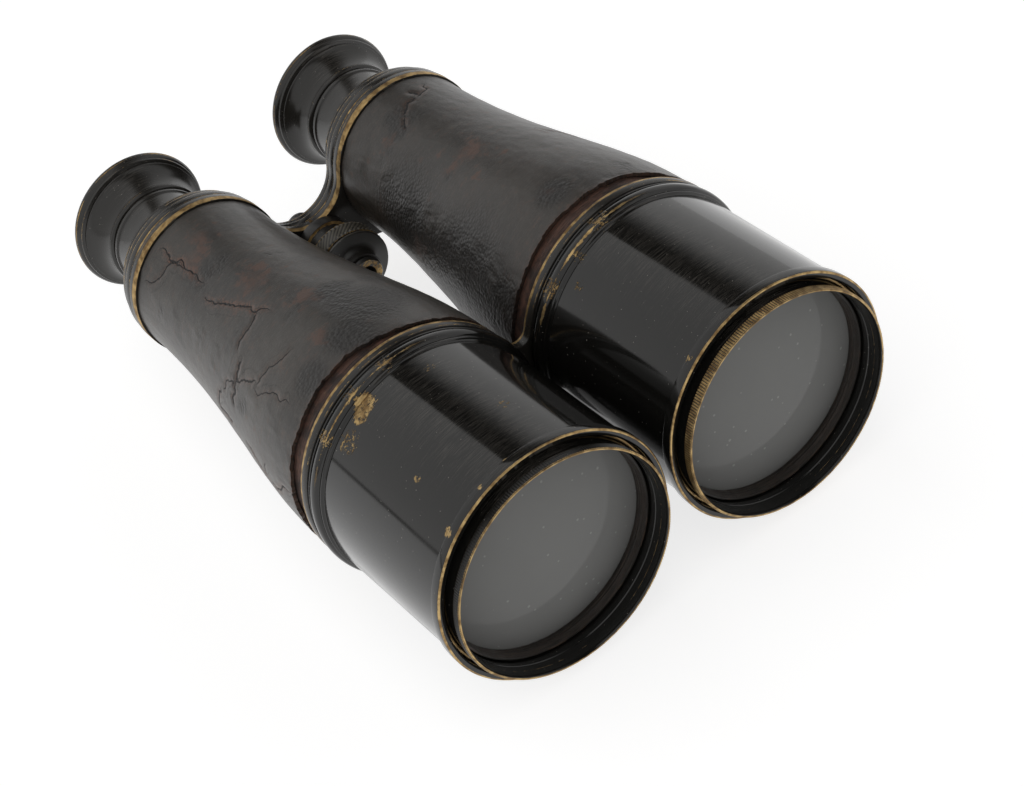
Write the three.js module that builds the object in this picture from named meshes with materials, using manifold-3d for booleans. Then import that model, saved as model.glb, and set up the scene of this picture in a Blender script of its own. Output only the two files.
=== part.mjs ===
// Prism-less field binoculars with sliding sunshades and a central focusing wheel.
//
// Millimetres. The two optical axes run along Y: the objectives face -Y and the eyecups +Y.
// +Z is up as the binoculars lie down, and the origin is on the surface that they lie on, under
// the middle of their length. "left" and "right" are the user's own, so left is on the +X side.

import * as THREE from 'three';
import { mergeVertices } from 'three/addons/utils/BufferGeometryUtils.js';
import Module from 'manifold-3d';

const wasm = await Module();
wasm.setup();

// ---- driving dimensions --------------------------------------------------------------------

const EYE_SPACING = 64; // between the two optical axes, a grown person's eyes
const OVERALL_LENGTH = 191.4; // bezel front to eyecup rear, focused in and sunshades back
const GAP = 0.3; // between pieces that touch
const RUNNING_GAP = 0.15; // round a journal that turns
const TUBE_WALL = 0.6; // barrel, where the sunshade slides on it
const BODY_WALL = 0.9; // barrel, along its taper
const LEATHER = 0.9; // thickness of the covering
const WIDE = 32; // facets round a barrel
const NARROW = 20; // facets round a small or inner piece

// Radii round an optical axis.
const BEAD_RADIUS = 31.5; // rear bead of the sunshade, the widest turned part
const LIP_RADIUS = 30.95; // rolled front edge of the sunshade
const SHADE_RADIUS = 30.1;
const SHADE_BORE = 29.25;
const TUBE_RADIUS = 28.95; // cylinder that the sunshade slides on
const BEZEL_RADIUS = 28.5;
const COVER_FRONT_RADIUS = 30.9; // leather at its front and rear edge
const COVER_REAR_RADIUS = 21.2;
const FRONT_PLATE_RADIUS = 31.2;
const REAR_PLATE_RADIUS = 21.7;
const DRAW_TUBE_RADIUS = 13;
const NECK_RADIUS = 13.6; // where the eyecup meets the neck
const EYECUP_RADIUS = 19;

// The focusing screw lies below the plane of the optical axes.
const SCREW_DROP = 10;
const SCREW_RADIUS = 2.6;
const WHEEL_RADIUS = 10.5;
const JOURNAL_RADIUS = 4.6;

// Stations along Y, each measured from its neighbour.
const BEZEL_FRONT = -OVERALL_LENGTH / 2;
const SHADE_FRONT = BEZEL_FRONT + 3.9;
const SHADE_REAR = SHADE_FRONT + 51.3;
const FRONT_PLATE = [SHADE_REAR + GAP, SHADE_REAR + GAP + 3];
const COVER = [FRONT_PLATE[1] + 5.2, FRONT_PLATE[1] + 93.4];
const REAR_PLATE = [COVER[1] + GAP, COVER[1] + GAP + 3.2];
const EYE_PLATE = [REAR_PLATE[1] + GAP, REAR_PLATE[1] + GAP + 5.2];
const EYECUP = [OVERALL_LENGTH / 2 - 12.7, OVERALL_LENGTH / 2];
const NECK = [EYE_PLATE[1] + GAP, EYECUP[0] - GAP];
const TUBE_FRONT = BEZEL_FRONT + 6.2;
const WHEEL_REAR = REAR_PLATE[0] - 10.3;

const AXIS_HEIGHT = BEAD_RADIUS;
const SCREW_HEIGHT = AXIS_HEIGHT - SCREW_DROP;
const SIDES = [
  { side: 'left', x: EYE_SPACING / 2 },
  { side: 'right', x: -EYE_SPACING / 2 },
];

// ---- finishes ------------------------------------------------------------------------------

const finish = (color, roughness, metalness) =>
  new THREE.MeshStandardMaterial({ color, roughness, metalness });

const FINISH = {
  lacquer: finish(0x0b0b0a, 0.25, 0.1),
  wornBlack: finish(0x14120f, 0.45, 0.4),
  brass: finish(0x8a6a34, 0.4, 0.9),
  leather: finish(0x2a2522, 0.7, 0),
  glass: finish(0x6a6a68, 0.05, 0),
  steel: finish(0x55534f, 0.4, 0.9),
};

// ---- shape helpers -------------------------------------------------------------------------

/** Turned piece: [radius, y] points, counter-clockwise, closed by itself or on the axis. */
function turned(profile, facets) {
  const points = profile.map(([radius, y]) => new THREE.Vector2(radius, y));
  const onAxis = profile[0][0] === 0;
  if (!onAxis) points.push(points[0].clone());
  return new THREE.LatheGeometry(points, facets);
}

/** Plain tube between two stations. */
function tube(inner, outer, [front, rear], facets) {
  return turned([[inner, front], [outer, front], [outer, rear], [inner, rear]], facets);
}

/** Solid bar between two stations. */
function bar(radius, [front, rear], facets) {
  return turned([[0, front], [radius, front], [radius, rear], [0, rear]], facets);
}

/** Points of an arc, both ends included, angles in radians. */
function arc(cx, cz, radius, from, to, steps) {
  return Array.from({ length: steps + 1 }, (_, i) => {
    const angle = from + ((to - from) * i) / steps;
    return [cx + radius * Math.cos(angle), cz + radius * Math.sin(angle)];
  });
}

/** Radius of the hollow fillet that touches both lobes and crosses X = 0 at a given height. */
const filletRadius = (lobe, height) =>
  ((EYE_SPACING / 2) ** 2 + height ** 2 - lobe ** 2) / (2 * (lobe - height));

/** Outline of a bridge plate: a lobe round each optical axis and a waist from low to high. */
function bridgeOutline(lobe, low, high) {
  const half = EYE_SPACING / 2;
  const above = filletRadius(lobe, high);
  const below = filletRadius(lobe, -low);
  const top = Math.atan2(high + above, half);
  const bottom = Math.atan2(-low + below, half);
  return [
    ...arc(half, 0, lobe, -Math.PI + bottom, Math.PI - top, WIDE - 6),
    ...arc(0, high + above, above, -top, -Math.PI + top, 6).slice(1),
    ...arc(-half, 0, lobe, top, 2 * Math.PI - bottom, WIDE - 6).slice(1),
    ...arc(0, low - below, below, Math.PI - bottom, bottom, 6).slice(1, -1),
  ];
}

/** Plate lying across Y with the given outline and round holes [x, z, radius]. */
function plate(outline, holes, [front, rear]) {
  const shape = new THREE.Shape(outline.map(([x, z]) => new THREE.Vector2(x, z)));
  for (const [x, z, radius] of holes) {
    const facets = radius > REAR_PLATE_RADIUS ? WIDE : NARROW;
    const points = arc(x, z, radius, 0, 2 * Math.PI, facets).slice(0, -1);
    shape.holes.push(new THREE.Path(points.map(([px, pz]) => new THREE.Vector2(px, pz))));
  }
  const geometry = new THREE.ExtrudeGeometry(shape, { depth: rear - front, bevelEnabled: false });
  return geometry.rotateX(Math.PI / 2).translate(0, rear, 0);
}

/** A manifold solid from a closed geometry. */
function toSolid(geometry) {
  const bare = geometry.index ? geometry.toNonIndexed() : geometry.clone();
  bare.deleteAttribute('normal');
  bare.deleteAttribute('uv');
  const merged = mergeVertices(bare, 1e-4);
  const corners = merged.index.array;
  const kept = [];
  for (let i = 0; i < corners.length; i += 3) {
    const [a, b, c] = [corners[i], corners[i + 1], corners[i + 2]];
    if (a !== b && b !== c && c !== a) kept.push(a, b, c);
  }
  return new wasm.Manifold(new wasm.Mesh({
    numProp: 3,
    vertProperties: new Float32Array(merged.attributes.position.array),
    triVerts: new Uint32Array(kept),
  }));
}

function toGeometry(solid) {
  const { vertProperties, triVerts } = solid.getMesh();
  const geometry = new THREE.BufferGeometry();
  geometry.setAttribute('position', new THREE.BufferAttribute(vertProperties, 3));
  geometry.setIndex(new THREE.BufferAttribute(triVerts, 1));
  return geometry;
}

const joined = (...pieces) =>
  toGeometry(pieces.map(toSolid).reduce((whole, piece) => whole.add(piece)));

const cut = (piece, ...tools) =>
  toGeometry(tools.map(toSolid).reduce((whole, tool) => whole.subtract(tool), toSolid(piece)));

// ---- barrel --------------------------------------------------------------------------------

/** Outside of the leather: a full shoulder behind the front plate that thins to the rear. */
function coverRadius(y) {
  const along = (y - COVER[0]) / (COVER[1] - COVER[0]);
  const fall = Math.sin((Math.PI / 2) * Math.max(along, 0) ** 0.8) ** 2;
  return COVER_FRONT_RADIUS + (COVER_REAR_RADIUS - COVER_FRONT_RADIUS) * fall;
}

/** The taper as [radius, y] points from front to rear, set in from the leather's surface. */
function taper(inset, from, to, steps) {
  return Array.from({ length: steps + 1 }, (_, i) => {
    const y = from + ((to - from) * i) / steps;
    return [coverRadius(y) - inset, y];
  });
}

/** Brass body: a straight cylinder for the sunshade, a shoulder, then the long taper. */
function barrelTube() {
  const shoulder = FRONT_PLATE[1] + GAP;
  const outer = LEATHER + GAP;
  return turned([
    [TUBE_RADIUS - TUBE_WALL, TUBE_FRONT],
    [TUBE_RADIUS, TUBE_FRONT],
    [TUBE_RADIUS, shoulder],
    ...taper(outer, shoulder, COVER[1], 5),
    ...taper(outer + BODY_WALL, shoulder + 1, COVER[1], 4).reverse(),
    [TUBE_RADIUS - TUBE_WALL, shoulder - 2],
  ], WIDE);
}

function leatherCover() {
  return turned([
    ...taper(0, COVER[0], COVER[1], 6),
    ...taper(LEATHER, COVER[0], COVER[1], 6).reverse(),
  ], WIDE);
}

/** Blackened ring across the taper that keeps stray light from the eyepiece. */
function stopRing() {
  const y = COVER[0] + 45;
  return tube(14, coverRadius(y) - LEATHER - BODY_WALL - 1, [y, y + 1], NARROW);
}

/** Fixed bush, let into the rear plate, that the draw tube slides in. */
function guideBush() {
  const bore = DRAW_TUBE_RADIUS + GAP;
  return tube(bore, bore + 1, [REAR_PLATE[0] - 20, REAR_PLATE[1]], NARROW);
}

// ---- objective end -------------------------------------------------------------------------

/** Sunshade: rolled lip in front, thin cylinder, and a raised bead behind. */
function sunshade() {
  const lip = SHADE_FRONT + 3.2;
  const bead = SHADE_REAR - 4;
  return turned([
    [SHADE_BORE, SHADE_FRONT],
    [LIP_RADIUS - 0.4, SHADE_FRONT],
    [LIP_RADIUS, SHADE_FRONT + 0.6],
    [LIP_RADIUS, lip - 0.6],
    [SHADE_RADIUS, lip],
    [SHADE_RADIUS, bead - 0.5],
    [BEAD_RADIUS, bead + 0.2],
    [BEAD_RADIUS, SHADE_REAR - 0.4],
    [BEAD_RADIUS - 0.5, SHADE_REAR],
    [SHADE_BORE, SHADE_REAR],
  ], WIDE);
}

// Cell stations: funnel down to the retaining ring, then the doublet against the rear ledge.
const RING = [BEZEL_FRONT + 6.4, BEZEL_FRONT + 9.6];
const LENS_RADIUS = 27.2;
const CROWN_EDGE = [RING[1] + GAP, RING[1] + GAP + 2];
const FLINT_REAR = CROWN_EDGE[1] + 5;

/** Screwed-in objective cell with its flared front rim. */
function objectiveCell() {
  const thread = TUBE_RADIUS - TUBE_WALL - GAP;
  const bore = LENS_RADIUS + GAP;
  return turned([
    [BEZEL_RADIUS - 0.7, BEZEL_FRONT],
    [BEZEL_RADIUS, BEZEL_FRONT],
    [BEZEL_RADIUS, BEZEL_FRONT + 2],
    [thread, TUBE_FRONT - 2],
    [thread, FLINT_REAR + 2],
    [bore - 2.5, FLINT_REAR + 2],
    [bore - 2.5, FLINT_REAR + GAP],
    [bore, FLINT_REAR + GAP],
    [bore, RING[0]],
    [bore - 0.6, RING[0] - GAP],
  ], WIDE);
}

function retainingRing() {
  return turned([
    [LENS_RADIUS - 0.5, RING[0]],
    [LENS_RADIUS, RING[0]],
    [LENS_RADIUS, RING[1]],
    [LENS_RADIUS - 0.8, RING[1]],
  ], WIDE);
}

/** Half a lens surface as [radius, y] points from the axis out; bulge is towards +Y. */
function lensSurface(radius, edge, bulge, steps) {
  return Array.from({ length: steps + 1 }, (_, i) => {
    const share = i / steps;
    return [radius * share, edge + bulge * (1 - share ** 2)];
  });
}

const CROWN_BULGE = 3;
const CEMENT_BULGE = 2.5;

function objectiveCrown() {
  return turned([
    ...lensSurface(LENS_RADIUS, CROWN_EDGE[0], -CROWN_BULGE, 3),
    ...lensSurface(LENS_RADIUS, CROWN_EDGE[1], CEMENT_BULGE, 3).reverse(),
  ], NARROW);
}

function objectiveFlint() {
  return turned([
    ...lensSurface(LENS_RADIUS, CROWN_EDGE[1] + GAP, CEMENT_BULGE, 3),
    ...lensSurface(LENS_RADIUS, FLINT_REAR, 0, 1).reverse(),
  ], NARROW);
}

// ---- eyepiece end --------------------------------------------------------------------------

function drawTube() {
  return tube(DRAW_TUBE_RADIUS - 0.7, DRAW_TUBE_RADIUS, [REAR_PLATE[0] - 22, EYE_PLATE[1]], NARROW);
}

/** Waisted neck between the eyepiece bridge and the eyecup. */
function eyepieceNeck() {
  const foot = NECK[0] + 1.6;
  const flare = REAR_PLATE_RADIUS - 3.4 - NECK_RADIUS;
  const sweep = Array.from({ length: 5 }, (_, i) => {
    const share = i / 4;
    return [NECK_RADIUS + flare * (1 - share) ** 2.2, foot + (NECK[1] - foot) * share];
  });
  return turned([
    [DRAW_TUBE_RADIUS - 0.7, NECK[0]],
    [REAR_PLATE_RADIUS - 2, NECK[0]],
    [REAR_PLATE_RADIUS - 2, foot - 0.4],
    ...sweep,
    [DRAW_TUBE_RADIUS - 0.7, NECK[1]],
  ], NARROW);
}

// The eye lens sits in a cell inside the neck, against a ledge at the cell's front.
const OCULAR_CELL = [NECK[1] - 10, NECK[1]];
const OCULAR_RADIUS = 10.6;

function ocularCell() {
  const outer = DRAW_TUBE_RADIUS - 0.7 - GAP;
  const bore = OCULAR_RADIUS + GAP;
  const ledge = OCULAR_CELL[0] + 1;
  return turned([
    [bore - 1.6, OCULAR_CELL[0]],
    [outer, OCULAR_CELL[0]],
    [outer, OCULAR_CELL[1]],
    [bore, OCULAR_CELL[1]],
    [bore, ledge],
    [bore - 1.6, ledge],
  ], NARROW);
}

/** Eye lens, hollow on both faces. */
function ocularLens() {
  const front = OCULAR_CELL[0] + 1 + GAP;
  return turned([
    ...lensSurface(OCULAR_RADIUS, front, 1.2, 2),
    ...lensSurface(OCULAR_RADIUS, front + 4.4, -1.6, 2).reverse(),
  ], NARROW);
}

function ocularRing() {
  const front = OCULAR_CELL[0] + 1 + GAP + 4.4 + GAP;
  return tube(OCULAR_RADIUS - 1.3, OCULAR_RADIUS, [front, front + 1.6], NARROW);
}

/** Turned eyecup: bead, cove, two fine steps and a rounded rim; inside, the eye hole and cup. */
function eyecup() {
  const [front, rear] = EYECUP;
  return turned([
    [7, front],
    [NECK_RADIUS, front],
    [NECK_RADIUS + 0.7, front + 0.9],
    [NECK_RADIUS + 0.2, front + 1.8],
    [NECK_RADIUS + 0.9, front + 5],
    [NECK_RADIUS + 3.4, front + 8.6],
    [EYECUP_RADIUS - 0.9, front + 9.6],
    [EYECUP_RADIUS, rear - 1.6],
    [EYECUP_RADIUS - 0.5, rear - 0.5],
    [EYECUP_RADIUS - 1.4, rear],
    [EYECUP_RADIUS - 2.4, rear],
    [EYECUP_RADIUS - 6, front + 7],
    [7, front + 3.2],
  ], NARROW);
}

// ---- bridges -------------------------------------------------------------------------------

const bothAxes = (radius) => SIDES.map(({ x }) => [x, 0, radius]);

/** Front bridge: a thin plate that ties the two barrels behind the sunshades. */
function frontBridge() {
  const outline = bridgeOutline(FRONT_PLATE_RADIUS, -9, 9);
  return plate(outline, bothAxes(TUBE_RADIUS + GAP), FRONT_PLATE);
}

/** Rear bridge: closes both barrels and holds the guide bushes and the wheel's bearing. */
function rearBridge() {
  const outline = bridgeOutline(REAR_PLATE_RADIUS, -16, -4);
  const bushes = bothAxes(DRAW_TUBE_RADIUS + 2 * GAP + 1);
  const journal = [0, -SCREW_DROP, JOURNAL_RADIUS + RUNNING_GAP];
  const recess = bar(JOURNAL_RADIUS + 1.8, [REAR_PLATE[1] - 1.5, REAR_PLATE[1] + 1], NARROW);
  return cut(plate(outline, [...bushes, journal], REAR_PLATE), recess.translate(0, 0, -SCREW_DROP));
}

/** Eyepiece bridge: two stacked plates in one casting, which carries both eyepieces. */
function eyepieceBridge() {
  const step = EYE_PLATE[0] + 2.8;
  const holes = [...bothAxes(DRAW_TUBE_RADIUS + GAP), [0, -SCREW_DROP, SCREW_RADIUS + GAP]];
  return joined(
    plate(bridgeOutline(REAR_PLATE_RADIUS - 0.3, -16, -4.3), holes, [EYE_PLATE[0], step]),
    plate(bridgeOutline(REAR_PLATE_RADIUS - 1.2, -15, -5.2), holes, [step - 0.1, EYE_PLATE[1]]),
  );
}

// ---- focusing ------------------------------------------------------------------------------

/** Knurled wheel with a front disc, a boss, and a long journal that runs in the bearing. */
function focusWheel() {
  const bore = SCREW_RADIUS + GAP;
  const journalRear = REAR_PLATE[1] - 0.2;
  return turned([
    [bore, WHEEL_REAR - 11.7],
    [4.6, WHEEL_REAR - 11.7],
    [5.6, WHEEL_REAR - 11],
    [5.6, WHEEL_REAR - 8],
    [7.4, WHEEL_REAR - 6.6],
    [WHEEL_RADIUS - 0.3, WHEEL_REAR - 6.3],
    [WHEEL_RADIUS - 0.3, WHEEL_REAR - 5.5],
    [WHEEL_RADIUS - 1, WHEEL_REAR - 5.3],
    [WHEEL_RADIUS, WHEEL_REAR - 4.9],
    [WHEEL_RADIUS, WHEEL_REAR],
    [JOURNAL_RADIUS, WHEEL_REAR],
    [JOURNAL_RADIUS, journalRear],
    [bore, journalRear],
  ], NARROW);
}

/** Collar on the rear bridge that the wheel's journal turns in. */
function wheelBearing() {
  const front = WHEEL_REAR + GAP;
  const rear = REAR_PLATE[0] - GAP;
  const bore = JOURNAL_RADIUS + RUNNING_GAP;
  return turned([
    [bore, front],
    [bore + 1.6, front],
    [bore + 1.6, rear - 4.4],
    [bore + 3, rear - 3.6],
    [bore + 3, rear],
    [bore, rear],
  ], NARROW);
}

/** Ring on the journal's end, in the recess behind the rear bridge: it keeps the wheel in. */
function wheelRetainer() {
  const rear = REAR_PLATE[1] - 0.2;
  return tube(JOURNAL_RADIUS + GAP, JOURNAL_RADIUS + 1.5, [rear - 1, rear], NARROW);
}

function focusScrew() {
  return bar(SCREW_RADIUS, [REAR_PLATE[0] - 19, EYE_PLATE[1]], NARROW);
}

/** Domed nut that holds the screw to the eyepiece bridge. */
function screwNut() {
  const front = EYE_PLATE[1] + GAP;
  const dome = Array.from({ length: 4 }, (_, i) => {
    const angle = (Math.PI / 2) * (i / 3);
    return [4.2 * Math.cos(angle), front + 1.2 + 3 * Math.sin(angle)];
  });
  return turned([[0, front], [4.2, front], ...dome.slice(0, 3), [0, front + 4.2]], NARROW);
}

// ---- assembly ------------------------------------------------------------------------------

const binoculars = new THREE.Group();

function add(name, geometry, material, x, z) {
  const mesh = new THREE.Mesh(geometry, material);
  mesh.name = name;
  mesh.position.set(x, 0, z);
  binoculars.add(mesh);
}

const PAIRS = [
  ['barrel_tube', barrelTube, FINISH.wornBlack],
  ['leather_cover', leatherCover, FINISH.leather],
  ['stop_ring', stopRing, FINISH.wornBlack],
  ['guide_bush', guideBush, FINISH.brass],
  ['sunshade', sunshade, FINISH.lacquer],
  ['objective_cell', objectiveCell, FINISH.lacquer],
  ['objective_ring', retainingRing, FINISH.wornBlack],
  ['objective_crown', objectiveCrown, FINISH.glass],
  ['objective_flint', objectiveFlint, FINISH.glass],
  ['draw_tube', drawTube, FINISH.brass],
  ['eyepiece_neck', eyepieceNeck, FINISH.wornBlack],
  ['ocular_cell', ocularCell, FINISH.brass],
  ['ocular_lens', ocularLens, FINISH.glass],
  ['ocular_ring', ocularRing, FINISH.wornBlack],
  ['eyecup', eyecup, FINISH.wornBlack],
];

for (const { side, x } of SIDES) {
  for (const [name, shape, material] of PAIRS) {
    add(`${name}_${side}`, shape(), material, x, AXIS_HEIGHT);
  }
}

add('front_bridge', frontBridge(), FINISH.wornBlack, 0, AXIS_HEIGHT);
add('rear_bridge', rearBridge(), FINISH.brass, 0, AXIS_HEIGHT);
add('eyepiece_bridge', eyepieceBridge(), FINISH.wornBlack, 0, AXIS_HEIGHT);
add('focus_wheel', focusWheel(), FINISH.wornBlack, 0, SCREW_HEIGHT);
add('wheel_bearing', wheelBearing(), FINISH.brass, 0, SCREW_HEIGHT);
add('wheel_retainer', wheelRetainer(), FINISH.brass, 0, SCREW_HEIGHT);
add('focus_screw', focusScrew(), FINISH.steel, 0, SCREW_HEIGHT);
add('screw_nut', screwNut(), FINISH.wornBlack, 0, SCREW_HEIGHT);

export default binoculars;
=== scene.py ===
# %% [markdown]
# # Field binoculars: the looks
#
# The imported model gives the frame: where every piece sits and which body it moves with. This
# lesson builds the visible surfaces round it: turned brass, worn lacquer, cracked leather and
# dusty glass. Everything is in metres. The optical axes run along Y, objectives at -Y.

# %% Load the frame
import math
import random

import bpy
import numpy as np
from mathutils import Matrix, Vector, noise


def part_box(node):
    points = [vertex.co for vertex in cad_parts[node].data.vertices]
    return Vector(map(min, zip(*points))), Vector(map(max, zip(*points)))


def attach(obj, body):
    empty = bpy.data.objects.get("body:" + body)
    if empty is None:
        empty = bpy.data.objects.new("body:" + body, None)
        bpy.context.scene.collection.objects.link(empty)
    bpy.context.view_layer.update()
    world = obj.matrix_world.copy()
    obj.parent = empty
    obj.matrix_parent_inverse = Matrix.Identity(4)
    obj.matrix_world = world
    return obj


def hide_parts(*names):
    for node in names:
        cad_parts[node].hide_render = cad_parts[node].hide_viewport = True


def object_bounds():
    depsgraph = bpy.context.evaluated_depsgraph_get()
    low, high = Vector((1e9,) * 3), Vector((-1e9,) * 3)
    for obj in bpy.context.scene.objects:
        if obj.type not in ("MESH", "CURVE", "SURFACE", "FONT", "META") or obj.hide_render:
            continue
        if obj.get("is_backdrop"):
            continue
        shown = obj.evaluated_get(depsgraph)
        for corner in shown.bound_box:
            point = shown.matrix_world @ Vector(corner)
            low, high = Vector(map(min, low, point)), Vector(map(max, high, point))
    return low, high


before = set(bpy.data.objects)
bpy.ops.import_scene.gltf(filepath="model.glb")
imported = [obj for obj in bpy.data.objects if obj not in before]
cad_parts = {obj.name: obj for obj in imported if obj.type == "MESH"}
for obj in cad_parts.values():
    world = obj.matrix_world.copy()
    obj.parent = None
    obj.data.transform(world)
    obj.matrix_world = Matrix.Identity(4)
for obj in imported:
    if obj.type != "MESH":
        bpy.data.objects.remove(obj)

MM = 0.001
CAD_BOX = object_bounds()
print("CAD box", [tuple(round(v, 4) for v in corner) for corner in CAD_BOX])

# %% [markdown]
# ## Where things are
#
# Each node's box gives its stations along Y and its outer radius, so no place is typed twice.
# Both barrels have the same stations and differ only in X. "left" is the user's left.

# %% Read the frame's stations
SIDES = {"left": 1, "right": -1}


def span(node):
    """Front and rear station of a node along Y, in millimetres."""
    low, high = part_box(node)
    return low.y / MM, high.y / MM


def radius_of(node):
    """Outer radius of a turned node, in millimetres."""
    low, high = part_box(node)
    return (high.z - low.z) / 2 / MM


AXIS_X = (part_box("sunshade_left")[0].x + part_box("sunshade_left")[1].x) / 2
AXIS_Z = (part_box("sunshade_left")[0].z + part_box("sunshade_left")[1].z) / 2
SCREW_Z = (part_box("focus_wheel")[0].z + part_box("focus_wheel")[1].z) / 2
SHADE = span("sunshade_left")
CELL = span("objective_cell_left")
TUBE = span("barrel_tube_left")
COVER = span("leather_cover_left")
FRONT_PLATE = span("front_bridge")
REAR_PLATE = span("rear_bridge")
EYE_PLATE = span("eyepiece_bridge")
NECK = span("eyepiece_neck_left")
EYECUP = span("eyecup_left")
print("axes at x = +-", round(AXIS_X, 4), "z =", round(AXIS_Z, 4), "screw z =", round(SCREW_Z, 4))

# %% [markdown]
# ## Camera, floor and light
#
# The binoculars lie in a white tent. A lacquered cylinder shows the tent as long bands, so the
# sky is a gradient round the Y axis: a white side and roof on one hand with a dim skirting, a dark
# slit beside the roof, and a softer white side on the other. The floor is plain and pale, and
# where a low camera looks past its edge the backdrop is plain white too.

# %% Camera
CAMERA_AZIMUTH = math.radians(25.5)
CAMERA_ELEVATION = math.radians(40.95)
CAMERA_ROLL = math.radians(-17.1)
CAMERA_DISTANCE = 0.571
AIM = Vector((-0.0069, -0.0419, 0.0315))

toward = Vector((
    math.sin(CAMERA_AZIMUTH) * math.cos(CAMERA_ELEVATION),
    math.cos(CAMERA_AZIMUTH) * math.cos(CAMERA_ELEVATION),
    -math.sin(CAMERA_ELEVATION),
))
camera = bpy.data.objects.new("camera", bpy.data.cameras.new("camera"))
bpy.context.scene.collection.objects.link(camera)
camera.data.lens = 86.4
camera.data.clip_start = 0.01
upright = toward.to_track_quat("-Z", "Y").to_matrix().to_4x4()
camera.matrix_world = (
    Matrix.Translation(AIM - toward * CAMERA_DISTANCE) @ upright @ Matrix.Rotation(CAMERA_ROLL, 4, "Z")
)
bpy.context.scene.camera = camera
bpy.context.scene.view_settings.view_transform = "Standard"
print("camera at", [round(v, 3) for v in camera.location])

# %% Node helpers
class Value:
    """A node's output that can be reckoned with: each sum or product adds a Math node to its tree."""

    def __init__(self, socket):
        self.socket, self.tree = socket, socket.id_data

    def calc(self, operation, second=0.0, first=None):
        """A Math node on this value; numbers are typed in and values are linked."""
        made = add_node(self.tree, "ShaderNodeMath", operation=operation)
        plug(self if first is None else first, made.inputs[0])
        plug(second, made.inputs[1])
        return Value(made.outputs[0])

    def __add__(self, other):
        return self.calc("ADD", other)

    def __sub__(self, other):
        return self.calc("SUBTRACT", other)

    def __rsub__(self, other):
        return self.calc("SUBTRACT", self, other)

    def __mul__(self, other):
        return self.calc("MULTIPLY", other)

    def __truediv__(self, other):
        return self.calc("DIVIDE", other)

    def __abs__(self):
        return self.calc("ABSOLUTE")

    def ramp(self, low, high, out_low=0.0, out_high=1.0):
        """A smooth step between two levels."""
        return value_of(self.tree, "ShaderNodeMapRange", "Result", interpolation_type="SMOOTHSTEP",
                        Value=self, From_Min=low, From_Max=high, To_Min=out_low, To_Max=out_high)

    def mix(self, first, second):
        """A colour between two others, by this value."""
        made = add_node(self.tree, "ShaderNodeMix", data_type="RGBA", Factor=self)
        plug(first, made.inputs[6])
        plug(second, made.inputs[7])
        return Value(made.outputs[2])


def plug(value, target):
    """Links a value to a socket, or types a number, a vector or a colour into it."""
    if isinstance(value, Value):
        value.tree.links.new(value.socket, target)
    else:
        target.default_value = value


def set_inputs(node, **values):
    """Plugs values into a node's inputs; a keyword is an input's name with _ for a space."""
    for label, value in values.items():
        plug(value, node.inputs[label.replace("_", " ")])


def add_node(tree, kind, **values):
    """A shader node; a keyword is one of its properties or one of its inputs."""
    made = tree.nodes.new(kind)
    for key, value in values.items():
        if hasattr(made, key):
            setattr(made, key, value)
        else:
            set_inputs(made, **{key: value})
    return made


def value_of(tree, kind, label=0, **values):
    """One output of a new node."""
    return Value(add_node(tree, kind, **values).outputs[label])


def split(vector):
    """The X, Y and Z of a vector."""
    return [Value(socket) for socket in add_node(vector.tree, "ShaderNodeSeparateXYZ", Vector=vector).outputs]


# %% Floor
FLOOR_SIZE = 8.0
bpy.ops.object.select_all(action="DESELECT")
bpy.ops.mesh.primitive_plane_add(size=FLOOR_SIZE, location=(0, 0, 0))
floor = bpy.context.object
floor.name = "floor"
floor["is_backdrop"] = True
floor_paint = bpy.data.materials.new("floor_white")
floor_paint.use_nodes = True
set_inputs(floor_paint.node_tree.nodes["Principled BSDF"], Base_Color=(0.45, 0.45, 0.45, 1),
           Roughness=0.9, Specular_IOR_Level=0.1, Emission_Color=(1, 1, 1, 1), Emission_Strength=0.76)
floor.data.materials.append(floor_paint)

# %% Sky of the light tent
ROOF_EDGE = math.radians(77)
SLIT_START = math.radians(63)
SLIT_END = math.radians(30)
SKIRTING = math.radians(177)
ROOF_LIGHT, SIDE_LIGHT, SLIT_LIGHT = 0.81, 0.8, 0.015
SKIRTING_SHARE = 0.35       # how bright the skirting is beside the wall above it
world = bpy.data.worlds.new("light_tent")
bpy.context.scene.world = world
world.use_nodes = True
sky = world.node_tree
east, _, up = split(value_of(sky, "ShaderNodeTexCoord", "Generated"))
around = up.calc("ARCTAN2", east)
skirting = around.calc("LESS_THAN", SKIRTING).calc("MAXIMUM", SKIRTING_SHARE)
wall = around.calc("GREATER_THAN", ROOF_EDGE) * skirting
soft_side = around.ramp(SLIT_START, SLIT_END, SLIT_LIGHT, SIDE_LIGHT)
seen_directly = value_of(sky, "ShaderNodeLightPath", "Is Camera Ray")
brightness = (wall * ROOF_LIGHT).calc("MAXIMUM", soft_side).calc("MAXIMUM", seen_directly)
set_inputs(sky.nodes["Background"], Strength=brightness, Color=(1, 0.995, 0.985, 1))
print("floor and sky made")


# %% [markdown]
# ## Turned pieces
#
# Most of the binoculars came off a lathe: sunshades, cells, necks, eyecups, the wheel. A lathe
# piece is one half outline spun round its axis. Here the outline is drawn by extruding a single
# vertex from point to point, then `spin` sweeps it into a solid. A small Bevel breaks the sharp
# corners, because a real edge always catches a line of light. Outlines are written as
# (radius, station along Y) in millimetres, as a turner's drawing would be. The two barrels are
# alike, so each piece is turned once, on the left, and a copy with its own mesh goes to the right.

# %% Lathe helpers
STEPS = 192                 # facets round a barrel, fine enough to look round
SMALL_STEPS = 96


def select_only(*pieces):
    """Leaves edit mode and selects just these pieces, with the first one active."""
    if bpy.context.mode != "OBJECT":
        bpy.ops.object.mode_set(mode="OBJECT")
    bpy.ops.object.select_all(action="DESELECT")
    for piece in pieces:
        piece.select_set(True)
    if pieces:
        bpy.context.view_layer.objects.active = pieces[0]


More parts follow.
